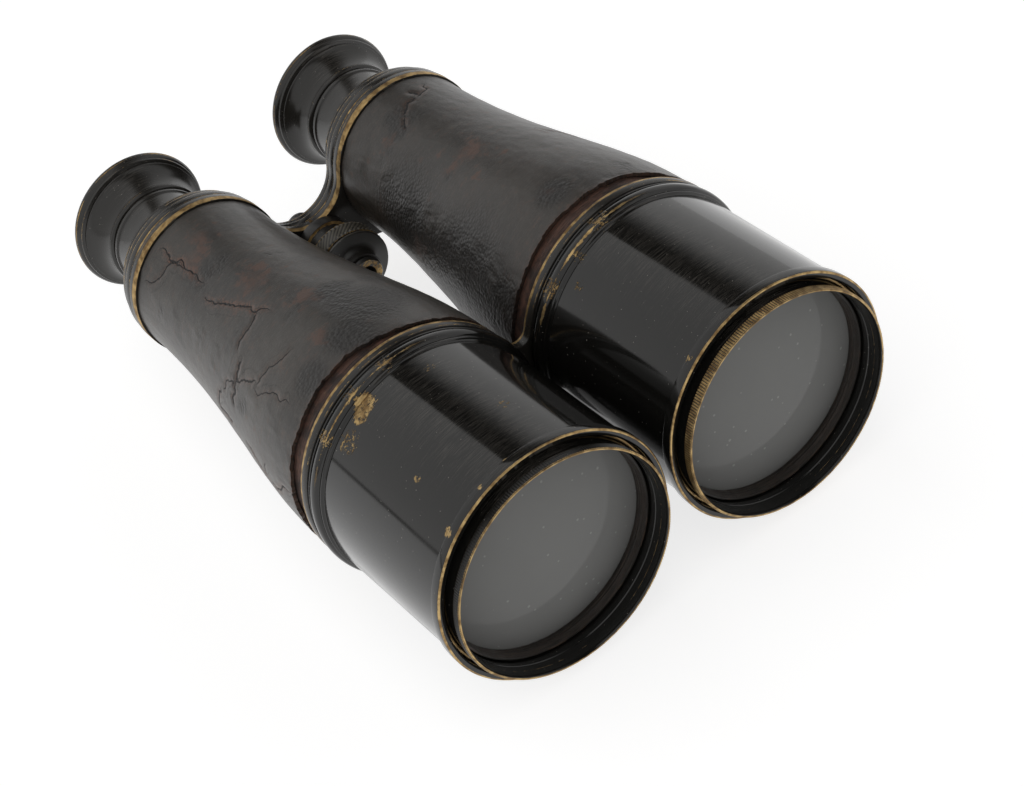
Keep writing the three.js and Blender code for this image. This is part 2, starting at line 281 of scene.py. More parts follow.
def start_vertex(name, x, y, z):
    """One selected vertex at a place in millimetres, in edit mode, on an object at the origin."""
    select_only()
    bpy.ops.mesh.primitive_plane_add(size=MM, location=(x * MM, y * MM, z * MM))
    piece = bpy.context.object
    piece.name = piece.data.name = name
    bpy.ops.object.transform_apply(location=True, rotation=False, scale=False)
    bpy.ops.object.mode_set(mode="EDIT")
    bpy.ops.mesh.select_all(action="SELECT")
    bpy.ops.mesh.merge(type="CENTER")
    return piece


def draw_line(points):
    """Extrudes the selected vertex along points (x, y, z) in millimetres; the first is where it is."""
    for here, there in zip(points, points[1:]):
        step = (Vector(there) - Vector(here)) * MM
        bpy.ops.mesh.extrude_vertices_move(TRANSFORM_OT_translate={"value": step})


def merge_and_face_out():
    """Ends an edit: merges double points, faces the surface outwards and leaves edit mode."""
    bpy.ops.mesh.select_all(action="SELECT")
    bpy.ops.mesh.remove_doubles(threshold=1e-6)
    bpy.ops.mesh.normals_make_consistent(inside=False)
    bpy.ops.object.mode_set(mode="OBJECT")


def apply_modifier(piece, kind, **values):
    """Adds a modifier, sets it and applies it."""
    select_only(piece)
    modifier = piece.modifiers.new(kind.lower(), kind)
    for key, value in values.items():
        setattr(modifier, key, value)
    bpy.ops.object.modifier_apply(modifier=modifier.name)


def soften(piece, width, sharp=30):
    """Rounds corners over an angle by a width in millimetres, then shades by angle."""
    if width:
        apply_modifier(piece, "BEVEL", width=width * MM, segments=2, limit_method="ANGLE",
                       angle_limit=math.radians(sharp))
    select_only(piece)
    bpy.ops.object.shade_smooth_by_angle(angle=math.radians(38))


def turn(name, outline, x, z=AXIS_Z / MM, steps=STEPS, edge=0.12):
    """Spins an outline of (radius, y) round the line through (x, z); edge is the corner rounding."""
    points = [(x + radius, y, z) for radius, y in outline]
    piece = start_vertex(name, *points[0])
    on_axis = outline[0][0] == 0
    draw_line(points if on_axis else points + points[:1])
    bpy.ops.mesh.select_all(action="SELECT")
    bpy.ops.mesh.spin(steps=steps, angle=math.tau, center=(x * MM, 0, z * MM), axis=(0, 1, 0))
    merge_and_face_out()
    soften(piece, edge)
    return piece


def sweep(start, pull, end, steps=6):
    """Points of a smooth curve from start to end, bent towards pull, without its start."""
    return [tuple((1 - t) ** 2 * a + 2 * t * (1 - t) * b + t * t * c for a, b, c in zip(start, pull, end))
            for t in (index / steps for index in range(1, steps + 1))]


def bead(front, rear, foot, height, steps=8):
    """Half-round bead between two stations, standing on radius foot."""
    middle, half = (front + rear) / 2, (rear - front) / 2
    return [(foot + height * math.sin(math.pi * i / steps), middle - half * math.cos(math.pi * i / steps))
            for i in range(steps + 1)]


def offsets(radius, station, *steps):
    """Points of an outline given as (radius, station) steps from one place."""
    return [(radius + out, station + back) for out, back in steps]


FINISHED = []               # (piece, finish name), painted once the finishes are mixed


def settle(piece, body, slot, finish, *nodes):
    """Gives a piece its body and its finish, and lets it stand for the CAD nodes; the slot is not used."""
    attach(piece, body)
    if nodes:
        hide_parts(*nodes)
    FINISHED.append((piece, finish))
    print(f"{piece.name}: {len(piece.data.polygons)} faces on {body}")


def twin(piece):
    """A copy of a left barrel's piece with a mesh of its own, moved over to the right barrel."""
    copy = piece.copy()
    copy.data = piece.data.copy()
    bpy.context.scene.collection.objects.link(copy)
    copy.data.transform(Matrix.Translation((-2 * AXIS_X, 0, 0)))
    return copy


def settle_pair(piece, name, body, slot, finish, *nodes):
    """Settles a left piece and its twin; {} stands for the side in the name, body and nodes."""
    for side, made in (("left", piece), ("right", twin(piece))):
        made.name = made.data.name = name.format(side)
        settle(made, body.format(side), slot, finish, *[node.format(side) for node in nodes])


# %% [markdown]
# ## Sunshades
#
# Each sunshade is a thin brass tube that slides forward over the barrel. Its front edge is rolled
# into a low lip, and its rear edge carries a round bead with a fine turned line in front of it.

# %% Sunshades
SHADE_RADIUS = 30.1
SHADE_BORE = 29.25
LIP_RADIUS = 30.95
BEAD_RADIUS = radius_of("sunshade_left")


def shade_outline():
    front, rear = SHADE
    lip, ring = front + 3.2, rear - 4.2
    return [
        (SHADE_BORE, front + 0.3), (SHADE_BORE + 0.3, front), (LIP_RADIUS - 0.5, front),
        *sweep(*offsets(LIP_RADIUS, front, (-0.5, 0), (0, 0), (0, 0.6)), 4), (LIP_RADIUS, lip - 0.5),
        *offsets(SHADE_RADIUS, lip, (0.05, 0), (0, 0.5)),
        *offsets(SHADE_RADIUS, ring, (0, -1.5), (-0.15, -1.3), (-0.15, -1.0), (0, -0.8), (0.5, -0.6),
                 (0.5, 0)),
        *bead(ring + 0.2, rear - 0.8, SHADE_RADIUS + 0.4, BEAD_RADIUS - SHADE_RADIUS - 0.4),
        *offsets(SHADE_RADIUS, rear, (0.4, -0.5), (0.8, -0.4), (0.8, 0)), (SHADE_BORE, rear),
    ]


HALF = AXIS_X / MM
shade = turn("sunshade_shell", shade_outline(), HALF, edge=0.1)
settle_pair(shade, "sunshade_shell_{}", "sunshade_{}", "lacquer", "lacquer", "sunshade_{}")

# %% [markdown]
# ## Objective cells
#
# The cell screws into the barrel. Its rim stands out in front with a finely cut grip, then a flare
# narrows to the thread. Inside, a dished funnel steps down to the ring that holds the lens. The
# grip is a ring of its own: every other upright edge of a many-sided cylinder is drawn in.

# %% Objective cells
BEZEL_RADIUS = 28.5
THREAD_RADIUS = 28.05
LENS_BORE = 27.5
RIDGES = 280                # cuts round the grip
GRIP_WIDTH = 1.9


def cell_outline():
    front, rear = CELL
    ring = span("objective_ring_left")[0]
    funnel = (BEZEL_RADIUS - 0.75, front + 0.35)
    return [
        funnel, *offsets(BEZEL_RADIUS, front, (-0.55, 0), (-0.35, 0), (-0.2, 0.15), (-0.2, 2.1)),
        *sweep((BEZEL_RADIUS - 0.2, front + 2.1), (THREAD_RADIUS - 0.9, front + 2.5),
               (THREAD_RADIUS, front + 5.6), 8),
        (THREAD_RADIUS, rear), *offsets(LENS_BORE, rear, (-2.5, 0), (-2.5, -1.7), (0, -1.7)),
        *offsets(LENS_BORE, ring, (0, -0.1), (-0.1, -0.3), (-0.25, -2.2), (-0.05, -2.4)),
        *sweep((LENS_BORE - 0.05, ring - 2.4), (LENS_BORE - 0.2, front + 1.6), funnel, 8)[:-1],
    ]


def grip_ring(name, x, radius, front, width, ridges, depth, wall=0.5, z=AXIS_Z / MM):
    """A ring with straight ridges across it: alternate outer edges of a cylinder are drawn in."""
    select_only()
    bpy.ops.mesh.primitive_cylinder_add(vertices=2 * ridges, radius=radius * MM, depth=width * MM,
                                        end_fill_type="NOTHING", rotation=(math.pi / 2, 0, 0),
                                        location=(x * MM, (front + width / 2) * MM, z * MM))
    ring = bpy.context.object
    ring.name = ring.data.name = name
    bpy.ops.object.transform_apply(location=True, rotation=True, scale=False)
    apply_modifier(ring, "SOLIDIFY", thickness=wall * MM, offset=-1)
    turn_of = math.tau / (2 * ridges)
    first = ring.data.vertices[0].co
    start = math.atan2(first.z - z * MM, first.x - x * MM)
    for vertex in ring.data.vertices:
        dx, dz = vertex.co.x - x * MM, vertex.co.z - z * MM
        outer = math.hypot(dx, dz) > (radius - wall / 2) * MM
        vertex.select = outer and round((math.atan2(dz, dx) - start) / turn_of) % 2 == 1
    for face in ring.data.polygons:
        face.select = False
    for line in ring.data.edges:
        line.select = False
    bpy.ops.object.mode_set(mode="EDIT")
    bpy.ops.mesh.select_mode(type="VERT")
    share = 1 - depth / radius
    bpy.ops.transform.resize(value=(share, 1, share), center_override=(x * MM, 0, z * MM))
    merge_and_face_out()
    soften(ring, 0)
    return ring


cell = turn("bezel", cell_outline(), HALF, edge=0.08)
settle_pair(cell, "bezel_{}", "body", "bezel_lacquer", "bezel", "objective_cell_{}")
grip = grip_ring("bezel_grip", HALF, BEZEL_RADIUS, CELL[0] + 0.2, GRIP_WIDTH, RIDGES, 0.16)
settle_pair(grip, "bezel_grip_{}", "body", "bezel_lacquer", "bezel_grip")

# %% [markdown]
# ## Lenses
#
# The objective is a cemented pair: a crown that bulges forward and a flint behind it. The eye lens
# is hollow on both faces, which is what makes this kind of glass show an upright picture without
# prisms. Each is a spun outline with its curved faces worked out as shallow bowls.

# %% Lenses and their rings
def face_curve(radius, edge_y, bulge, steps=24):
    """Half of a lens face from the axis out; a positive bulge leans towards +Y."""
    return [(radius * i / steps, edge_y + bulge * (1 - (i / steps) ** 2)) for i in range(steps + 1)]


def lens(name, radius, faces, steps):
    """A lens between two faces, each (edge station, bulge)."""
    front, rear = (face_curve(radius, *face) for face in faces)
    return turn(name, front + rear[::-1], HALF, steps=steps, edge=0.05)


CROWN_EDGE = span("objective_ring_left")[1] + 0.3
CROWN_THICK = 2.0
FLINT_REAR = span("objective_flint_left")[1]
LENS_RADIUS = radius_of("objective_crown_left")
OCULAR = span("ocular_lens_left")
OCULAR_RADIUS = radius_of("ocular_lens_left")
OCULAR_RING = span("ocular_ring_left")

crown_rear = CROWN_EDGE + CROWN_THICK
crown = lens("crown_lens", LENS_RADIUS, [(CROWN_EDGE, -3.0), (crown_rear, 2.5)], STEPS)
settle_pair(crown, "crown_lens_{}", "body", "glass", "glass", "objective_crown_{}")
flint = lens("flint_lens", LENS_RADIUS, [(crown_rear + 0.3, 2.5), (FLINT_REAR, 0.0)], STEPS)
settle_pair(flint, "flint_lens_{}", "body", "glass", "clear_glass", "objective_flint_{}")
front, rear = span("objective_ring_left")
ring = turn("lens_ring", [
    (LENS_RADIUS - 0.5, front), (LENS_RADIUS, front),
    *offsets(LENS_RADIUS, rear, (0, 0), (-0.9, 0), (-0.8, -0.6), (-0.95, -0.8), (-0.75, -1.2),
             (-0.85, -1.5), (-0.65, -1.8))], HALF, edge=0.06)
settle_pair(ring, "lens_ring_{}", "body", "inner_black", "inner_black", "objective_ring_{}")
eye = lens("eye_lens", OCULAR_RADIUS, [(OCULAR[0], 1.2), (OCULAR[1], -1.6)], SMALL_STEPS)
settle_pair(eye, "eye_lens_{}", "eyepiece_carriage", "glass", "clear_glass", "ocular_lens_{}")
front, rear = OCULAR_RING
keeper = turn("eye_lens_ring", [
    (OCULAR_RADIUS - 1.3, front), (OCULAR_RADIUS, front), (OCULAR_RADIUS, rear),
    (OCULAR_RADIUS - 0.7, rear)], HALF, steps=SMALL_STEPS, edge=0.1)
settle_pair(keeper, "eye_lens_ring_{}", "eyepiece_carriage", "inner_black", "inner_black", "ocular_ring_{}")

# %% [markdown]
# ## Barrels
#
# The barrel is spun brass: a straight front part for the sunshade, a shoulder, then a long taper
# towards the eye. The taper is an easing curve, so it leaves the shoulder gently and arrives
# gently at the rear bridge. The leather lies on it with its outer face on the same curve.

# %% Barrels
COVER_FRONT_RADIUS = 30.9
COVER_REAR_RADIUS = 21.2
LEATHER = 0.9
TUBE_RADIUS = 28.95


def cover_radius(y):
    """Outer radius of the leather at a station, in millimetres; it works on arrays too."""
    share = np.clip((y - COVER[0]) / (COVER[1] - COVER[0]), 0, 1)
    ease = np.sin(math.pi / 2 * share ** 0.8) ** 2
    return COVER_FRONT_RADIUS + (COVER_REAR_RADIUS - COVER_FRONT_RADIUS) * ease


def taper(inset, front, rear, steps):
    return [(float(cover_radius(y)) - inset, float(y)) for y in np.linspace(front, rear, steps + 1)]


shoulder = FRONT_PLATE[1] + 0.3
barrel = turn("barrel", [
    (TUBE_RADIUS - 0.6, TUBE[0]), (TUBE_RADIUS, TUBE[0]), (TUBE_RADIUS, shoulder),
    *taper(LEATHER + 0.3, shoulder, COVER[1], 24), *taper(LEATHER + 1.2, shoulder + 1, COVER[1], 12)[::-1],
    (TUBE_RADIUS - 0.6, shoulder - 2)], HALF, edge=0.1)
settle_pair(barrel, "barrel_{}", "body", "tube_brass", "lined_tube", "barrel_tube_{}")

# %% [markdown]
# ## Eyepieces
#
# A draw tube carries each eyepiece in and out of the barrel. Outside it a waisted neck rises from
# the bridge, and the eyecup screws on behind: a small bead, a long cove, two fine steps and a
# rounded rim, with a dished hollow for the eye.

# %% Draw tubes, necks and eyecups
DRAW = span("draw_tube_left")
DRAW_RADIUS = radius_of("draw_tube_left")
NECK_TOP = 13.6
NECK_FOOT = radius_of("eyepiece_neck_left")
RIM = radius_of("eyecup_left")


def neck_outline():
    front, rear = NECK
    foot = front + 1.4
    return [
        (DRAW_RADIUS - 0.7, front), (NECK_FOOT, front),
        *offsets(NECK_FOOT, foot, (0, -0.9), (-0.35, -0.75), (-0.35, -0.5), (-0.1, -0.35), (-0.1, 0.1),
                 (-0.75, 0.25), (-0.75, 0.5), (-0.95, 0.7)),
        *sweep((NECK_FOOT - 0.95, foot + 0.7), (NECK_TOP - 0.1, foot + 1.6),
               (NECK_TOP - 0.25, rear - 2.4), 14),
        *offsets(NECK_TOP, rear, (-0.25, -1.5), (0.15, -1.3), (0.15, -0.2)),
        (DRAW_RADIUS - 0.7, rear),
    ]


def eyecup_outline():
    front, rear = EYECUP
    bottom = NECK_TOP + 0.2
    return [
        (7, front), (NECK_TOP - 0.1, front),
        *bead(front + 0.05, front + 1.7, NECK_TOP - 0.1, 0.85, 6)[1:],
        (bottom - 0.2, front + 1.9),
        *sweep((bottom - 0.2, front + 1.9), (bottom - 0.1, front + 6.3), (NECK_TOP + 3.4, front + 8.2), 10),
        *offsets(NECK_TOP, front, (3.75, 8.3), (3.75, 8.75), (3.45, 8.9), (3.45, 9.1)),
        *offsets(RIM, front, (-0.95, 9.25), (-0.8, 9.8), (-0.95, 9.95)),
        *sweep(*offsets(RIM, front, (-0.95, 9.95), (-0.2, 10.2), (0, 11.3)), 5),
        *sweep((RIM, front + 11.3), (RIM - 0.1, rear), (RIM - 1.7, rear), 6),
        (RIM - 2.4, rear - 0.15),
        *sweep((RIM - 2.4, rear - 0.15), (RIM - 3.6, front + 9.4), (RIM - 6, front + 7), 6),
        *sweep((RIM - 6, front + 7), (11, front + 4.6), (7.4, front + 3.6), 6),
        (7, front + 3.2),
    ]


tube = turn("draw_tube_body", [
    (DRAW_RADIUS - 0.7, DRAW[0]), (DRAW_RADIUS, DRAW[0]), (DRAW_RADIUS, DRAW[1]),
    (DRAW_RADIUS - 0.7, DRAW[1])], HALF, steps=SMALL_STEPS, edge=0.1)
settle_pair(tube, "draw_tube_{}_body", "eyepiece_carriage", "inner_brass", "inner_brass", "draw_tube_{}")
neck = turn("neck", neck_outline(), HALF, edge=0.07)
settle_pair(neck, "neck_{}", "eyepiece_carriage", "worn_black", "eye_black", "eyepiece_neck_{}")
cup = turn("eyecup_body", eyecup_outline(), HALF, edge=0.07)
settle_pair(cup, "eyecup_{}_body", "eyepiece_carriage", "worn_black", "eye_black", "eyecup_{}")

# %% [markdown]
# ## Bridges
#
# Three flat castings tie the two barrels together. Seen along the barrels each is a pair of round
# lobes joined by a waist with hollow fillets. The outline is drawn with arcs, filled, and extruded
# to its thickness; the holes for the tubes are cut with a Boolean, and a Bevel rounds the rims,
# which is where the black has worn down to bright brass.

# %% Bridges
LOBE_STEPS = 150


def arc(cx, cz, radius, start, end, steps):
    angles = [start + (end - start) * i / steps for i in range(steps + 1)]
    return [(cx + radius * math.cos(a), cz + radius * math.sin(a)) for a in angles]


def hollow_radius(lobe, height):
    """Radius of the fillet that touches both lobes and crosses the middle at a height."""
    return (HALF ** 2 + height ** 2 - lobe ** 2) / (2 * (lobe - height))


def bridge_outline(lobe, low, high):
    above, below = hollow_radius(lobe, high), hollow_radius(lobe, -low)
    top = math.atan2(high + above, HALF)
    bottom = math.atan2(-low + below, HALF)
    return [
        *arc(HALF, 0, lobe, -math.pi + bottom, math.pi - top, LOBE_STEPS),
        *arc(0, high + above, above, -top, -math.pi + top, 24)[1:],
        *arc(-HALF, 0, lobe, top, math.tau - bottom, LOBE_STEPS)[1:],
        *arc(0, low - below, below, math.pi - bottom, bottom, 24)[1:-1],
    ]


def plate(name, outline, stations):
    """A flat casting of an outline in X and Z round the axes' height, between two stations."""
    front, rear = stations
    points = [(x, front, AXIS_Z / MM + z) for x, z in outline]
    piece = start_vertex(name, *points[0])
    draw_line(points + points[:1])
    bpy.ops.mesh.select_all(action="SELECT")
    bpy.ops.mesh.remove_doubles(threshold=1e-6)
    bpy.ops.mesh.edge_face_add()
    bpy.ops.mesh.extrude_region_move(TRANSFORM_OT_translate={"value": (0, (rear - front) * MM, 0)})
    merge_and_face_out()
    return piece


def drill(piece, x, z, radius, stations):
    """Cuts a round hole along Y through a piece."""
    front, rear = stations
    cutter = turn("drill", [(0, front - 1), (radius, front - 1), (radius, rear + 1), (0, rear + 1)],
                  x, z, steps=SMALL_STEPS if radius < 20 else STEPS, edge=0)
    apply_modifier(piece, "BOOLEAN", object=cutter, operation="DIFFERENCE", solver="EXACT")
    bpy.data.objects.remove(cutter)


def mark_rim(piece, stations):
    """Keeps an attribute that is 1 on the narrow walls of a plate and 0 on its flat faces."""
    front, rear = stations
    keep_attribute(piece, "rim", np.array(
        [front + 0.02 < vertex.co.y / MM < rear - 0.02 for vertex in piece.data.vertices], float))


def keep_attribute(piece, name, values):
    stored = piece.data.attributes.new(name, "FLOAT", "POINT")
    stored.data.foreach_set("value", values.astype(np.float32))


def casting(name, layers, holes, edge):
    """Stacked plates, each drilled, then joined into one piece; layers are (outline, stations)."""
    pieces = []
    for number, (outline, stations) in enumerate(layers):
        layer = plate(f"{name}_{number}", outline, stations)
        for x, z, radius in holes:
            drill(layer, x, z, radius, stations)
        soften(layer, edge)
        mark_rim(layer, stations)
        pieces.append(layer)
    select_only(*pieces)
    if len(pieces) > 1:
        bpy.ops.object.join()
    pieces[0].name = pieces[0].data.name = name
    return pieces[0]


FRONT_LOBE, REAR_LOBE = 31.2, 21.7
axis_height = AXIS_Z / MM
screw_height = SCREW_Z / MM
step_y = EYE_PLATE[0] + 2.8


def axis_holes(radius):
    return [(HALF, axis_height, radius), (-HALF, axis_height, radius)]


front_plate = casting("front_bridge_plate", [(bridge_outline(FRONT_LOBE, -9, 9), FRONT_PLATE)],
                      axis_holes(TUBE_RADIUS + 0.15), 0.7)
settle(front_plate, "body", "bridge_brass", "bridge_edge", "front_bridge")
rear_plate = casting("rear_bridge_plate", [(bridge_outline(REAR_LOBE, -16, -4), REAR_PLATE)],
                     axis_holes(14.6) + [(0, screw_height, 4.75)], 0.6)
settle(rear_plate, "body", "bridge_brass", "bridge_edge", "rear_bridge")
eye_plate = casting("eyepiece_bridge_plate", [
    (bridge_outline(REAR_LOBE - 0.3, -16, -4.3), (EYE_PLATE[0], step_y - 0.15)),
    (bridge_outline(REAR_LOBE - 1.2, -15, -5.2), (step_y, EYE_PLATE[1]))],
    axis_holes(DRAW_RADIUS + 0.15) + [(0, screw_height, 2.75)], 0.45)
settle(eye_plate, "eyepiece_carriage", "worn_black", "eye_plate", "eyepiece_bridge")

# %% [markdown]
# ## Focusing gear
#
# A knurled wheel sits between the barrels on a long journal, and a many-start screw runs through
# it to the eyepiece bridge. The wheel's grip is a net of small pyramids: on a fine grid round the
# rim, every other crossing is drawn in, as a knurling tool presses it.

# %% Focusing gear
WHEEL = span("focus_wheel")
WHEEL_RADIUS = radius_of("focus_wheel")
KNURL_COLUMNS = 50
KNURL_ROWS = 8
KNURL_DEPTH = 0.5
BEARING = span("wheel_bearing")
SCREW = span("focus_screw")
NUT = span("screw_nut")


def knurled(piece, x, z, radius, front, rear, rows, columns, depth):
    """Draws in alternate crossings of the grid on the rim between two stations."""
    pitch = (rear - front) / rows
    for vertex in piece.data.vertices:
        y, dx, dz = vertex.co.y / MM, vertex.co.x / MM - x, vertex.co.z / MM - z
        row = (y - front) / pitch
        column = round(math.atan2(dz, dx) / math.tau * columns * 2)
        on_rim = math.hypot(dx, dz) > radius - 0.05 and 0.4 < row < rows - 0.4
        if on_rim and (round(row) + column) % 2:
            share = 1 - depth / radius
            vertex.co.x, vertex.co.z = (x + dx * share) * MM, (z + dz * share) * MM


wheel_rear = BEARING[0] - 0.3
rim_front = wheel_rear - 4.9
wheel = turn("focusing_wheel", [
    (2.9, WHEEL[0]), (4.6, WHEEL[0]), *bead(WHEEL[0] + 0.2, WHEEL[0] + 1.4, 4.6, 0.6, 4)[1:],
    (5.6, WHEEL[0] + 1.6), (5.6, WHEEL[0] + 3.7),
    *sweep((5.6, WHEEL[0] + 3.7), (5.8, WHEEL[0] + 5), (7.4, WHEEL[0] + 5.1), 5),
    *offsets(WHEEL_RADIUS, rim_front, (-0.6, -1.3), (-0.35, -1.1), (-0.35, -0.6), (-1.1, -0.5),
             (-1.1, -0.2), (-0.3, 0)),
    *[(WHEEL_RADIUS, rim_front + (wheel_rear - rim_front) * i / KNURL_ROWS) for i in range(1, KNURL_ROWS)],
    (WHEEL_RADIUS - 0.3, wheel_rear), (4.6, wheel_rear), (4.6, WHEEL[1]), (2.9, WHEEL[1])],
    0, screw_height, steps=2 * KNURL_COLUMNS, edge=0)
knurled(wheel, 0, screw_height, WHEEL_RADIUS, rim_front, wheel_rear, KNURL_ROWS, KNURL_COLUMNS, KNURL_DEPTH)
bpy.ops.object.shade_smooth_by_angle(angle=math.radians(14))
settle(wheel, "focus_wheel", "wheel_black", "wheel_black", "focus_wheel")

bearing = turn("wheel_collar", [
    (4.75, BEARING[0]), (6.35, BEARING[0]), (6.35, BEARING[1] - 4.6),
    *sweep((6.35, BEARING[1] - 4.6), (6.4, BEARING[1] - 3.5), (7.75, BEARING[1] - 3.4), 5),
    (7.75, BEARING[1]), (4.75, BEARING[1])], 0, screw_height, steps=SMALL_STEPS, edge=0.15)
settle(bearing, "body", "inner_brass", "wheel_black", "wheel_bearing")

STARTS = 6                  # threads side by side on the screw
THREAD_PITCH = 1.0
THREAD_DEPTH = 0.3
thread_rows = int((SCREW[1] - SCREW[0]) / (THREAD_PITCH / 4))
screw = turn("threaded_screw", [
    (0, SCREW[0]), (2.0, SCREW[0]),
    *[(2.6, SCREW[0] + 0.4 + (SCREW[1] - SCREW[0] - 0.4) * i / thread_rows) for i in range(thread_rows + 1)],
    (0, SCREW[1])], 0, screw_height, steps=48, edge=0)
for vertex in screw.data.vertices:
    dx, dz = vertex.co.x / MM, vertex.co.z / MM - screw_height
    if math.hypot(dx, dz) > 2.5:
        phase = (vertex.co.y / MM / THREAD_PITCH + STARTS * math.atan2(dz, dx) / math.tau) % 1
        share = 1 - THREAD_DEPTH * abs(2 * phase - 1) / 2.6
        vertex.co.x, vertex.co.z = dx * share * MM, (screw_height + dz * share) * MM
settle(screw, "eyepiece_carriage", "steel", "steel", "focus_screw")

nut = turn("domed_nut", [
    *offsets(0, NUT[0], (0, 0), (4.2, 0), (4.2, 0.9), (3.95, 1.05), (3.95, 1.3)),
    *sweep((3.95, NUT[0] + 1.3), (3.9, NUT[1] - 0.2), (0.8, NUT[1]), 10), (0, NUT[1])],
    0, screw_height, steps=SMALL_STEPS, edge=0.1)
settle(nut, "eyepiece_carriage", "worn_black", "eye_plate", "screw_nut")

# %% [markdown]
# ## Leather covers
#
# Each barrel wears a sleeve of thin leather, glued on long ago. It has shrunk: its front edge is
# torn back from the bridge, cracks have opened with their lips curled up, and low wrinkles run
# along it. The sleeve is spun with a fine grid, then its outer face is worked point by point, as a
# sculptor would: a crack is a wandering line from a few numbers, and how far a point lies from the
# line says how deep it sinks or how much it curls. The distances are kept as attributes: with a
# sign for the two sides of a crack, a finish can paint a dark line far thinner than the grid, which
# is painted shade for a gap too narrow for the mesh to open.

# %% Cracks, as wandering lines on the cover
LEATHER_ROWS = 165
LEATHER_STEPS = 500
CRACK_STEP = 0.6            # millimetres between a crack's points

# Angle round the barrel (90 is the top, 180 the outer side of the right barrel), station along Y,
# heading (0 runs to the rear, 90 turns up in angle), length, width, and how much its lips curl.
CRACKS = {
    "right": [
        (107, 0, 11, 31, 0.30, 0.9), (119, 30, -3, 26, 0.26, 0.8), (120, 41, 42, 18, 0.26, 0.3),
        (148, -1, 87, 8, 0.42, 0.5), (148, -1, -90, 6, 0.50, 0.5), (148, -1, 197, 11, 0.32, 0.4),
        (142, -11, 201, 18, 0.20, 0.3), (148, -1, 37, 10, 0.28, 0.4), (160, 7, 72, 10, 0.36, 0.5),
        (140, -11, -106, 15, 0.24, 0.3), (134, 2.5, -69, 11.5, 0.34, 0.4), (173, -31, 4, 27, 0.34, 0.8),
        (175, 1, 16, 10, 0.50, 0.8), (171, -19, 80, 5, 0.24, 0.3), (250, -12, 20, 34, 0.32, 0.7),
        (300, 14, 160, 24, 0.28, 0.5), (20, 8, 60, 14, 0.26, 0.4), (262, 8, -60, 12, 0.30, 0.4),
    ],
    "left": [
        (84, 50.5, -157, 4, 0.48, 0.4), (86, 46.5, 105, 8, 0.42, 0.5), (103, 42, 150, 5, 0.30, 0.9),
        (84, 46, -40, 9, 0.26, 0.5), (38, -14, 12, 26, 0.26, 0.5), (20, -18, 8, 30, 0.34, 0.8),
        (12, 10, 70, 12, 0.28, 0.5), (330, 22, 165, 26, 0.30, 0.6), (250, 0, 32, 22, 0.28, 0.5),
        (352, 2, -40, 15, 0.34, 0.5),
    ],
}


def wander(angle, y, heading, length, rng):
    """Points (angle in radians, y in mm) of a crack that keeps near its heading but strays."""
    angle, base = math.radians(angle), math.radians(heading)
    course, points = base, [(angle, y)]
    for _ in range(int(length / CRACK_STEP)):
        course = base + 0.45 * (course - base) + rng.gauss(0, 0.42)
        y += CRACK_STEP * math.cos(course)
        angle += CRACK_STEP * math.sin(course) / float(cover_radius(y))
        points.append((angle, y))
    return points


def distance_to_line(angles, ys, radii, points):
    """Distance in mm to a crack, with a sign for its two sides, and how far along it lies, 0 to 1."""
    best = np.full(len(ys), 99.0)
    along, hand = np.zeros(len(ys)), np.ones(len(ys))
    count = len(points) - 1
    for index, ((a0, y0), (a1, y1)) in enumerate(zip(points, points[1:])):
        near = np.abs(ys - y0) < 4
        du = (np.mod(angles[near] - a0 + math.pi, math.tau) - math.pi) * radii[near]
        dy = ys[near] - y0
        eu, ey = (a1 - a0) * float(cover_radius(y0)), y1 - y0
        share = np.clip((du * eu + dy * ey) / (eu * eu + ey * ey + 1e-9), 0, 1)
        gap = np.hypot(du - share * eu, dy - share * ey)
        closer = gap < best[near]
        place = np.flatnonzero(near)[closer]
        best[place] = gap[closer]
        along[place] = (index + share[closer]) / count
        hand[place] = np.sign((eu * dy - ey * du)[closer] + 1e-9)
    return best, hand, along


print("cracks:", {side: len(lines) for side, lines in CRACKS.items()})

# %% Work the leather
TEAR_REACH = 9.0            # how far back from its front edge a tear moves the leather
SHADE_GAP = 0.7             # the leather's nearest approach to the front bridge
FAR_FROM_CRACK = 9.0


def fractal(points, scale, seed, octaves=3):
    """Smooth noise of about -1 to 1 at each point, in millimetres."""
    shift = Vector((seed * 17.3, seed * 5.1, seed * 9.7))
    return np.array([noise.fractal(Vector(p) / scale + shift, 0.6, 2.1, octaves) for p in points])


def torn_edge(angles, side, seed):
    """How far the front edge sits from its place at each angle, in mm: minus is further forward."""
    ring = np.stack([np.cos(angles), np.sin(angles), np.zeros(len(angles))], 1)
    degrees = np.mod(np.degrees(angles), 360)
    middle, reach = {"right": (60, 34), "left": (36, 30)}[side]
    forward = np.exp(-((degrees - middle) / reach) ** 4)
    slow = fractal(ring, 0.55, seed) * 0.45
    fast = fractal(ring, 0.05, seed + 1, 4) * 0.36
    return np.clip(slow + fast - 0.9 - 2.6 * forward, COVER[0] * -1 + FRONT_PLATE[1] + SHADE_GAP, 3.5)


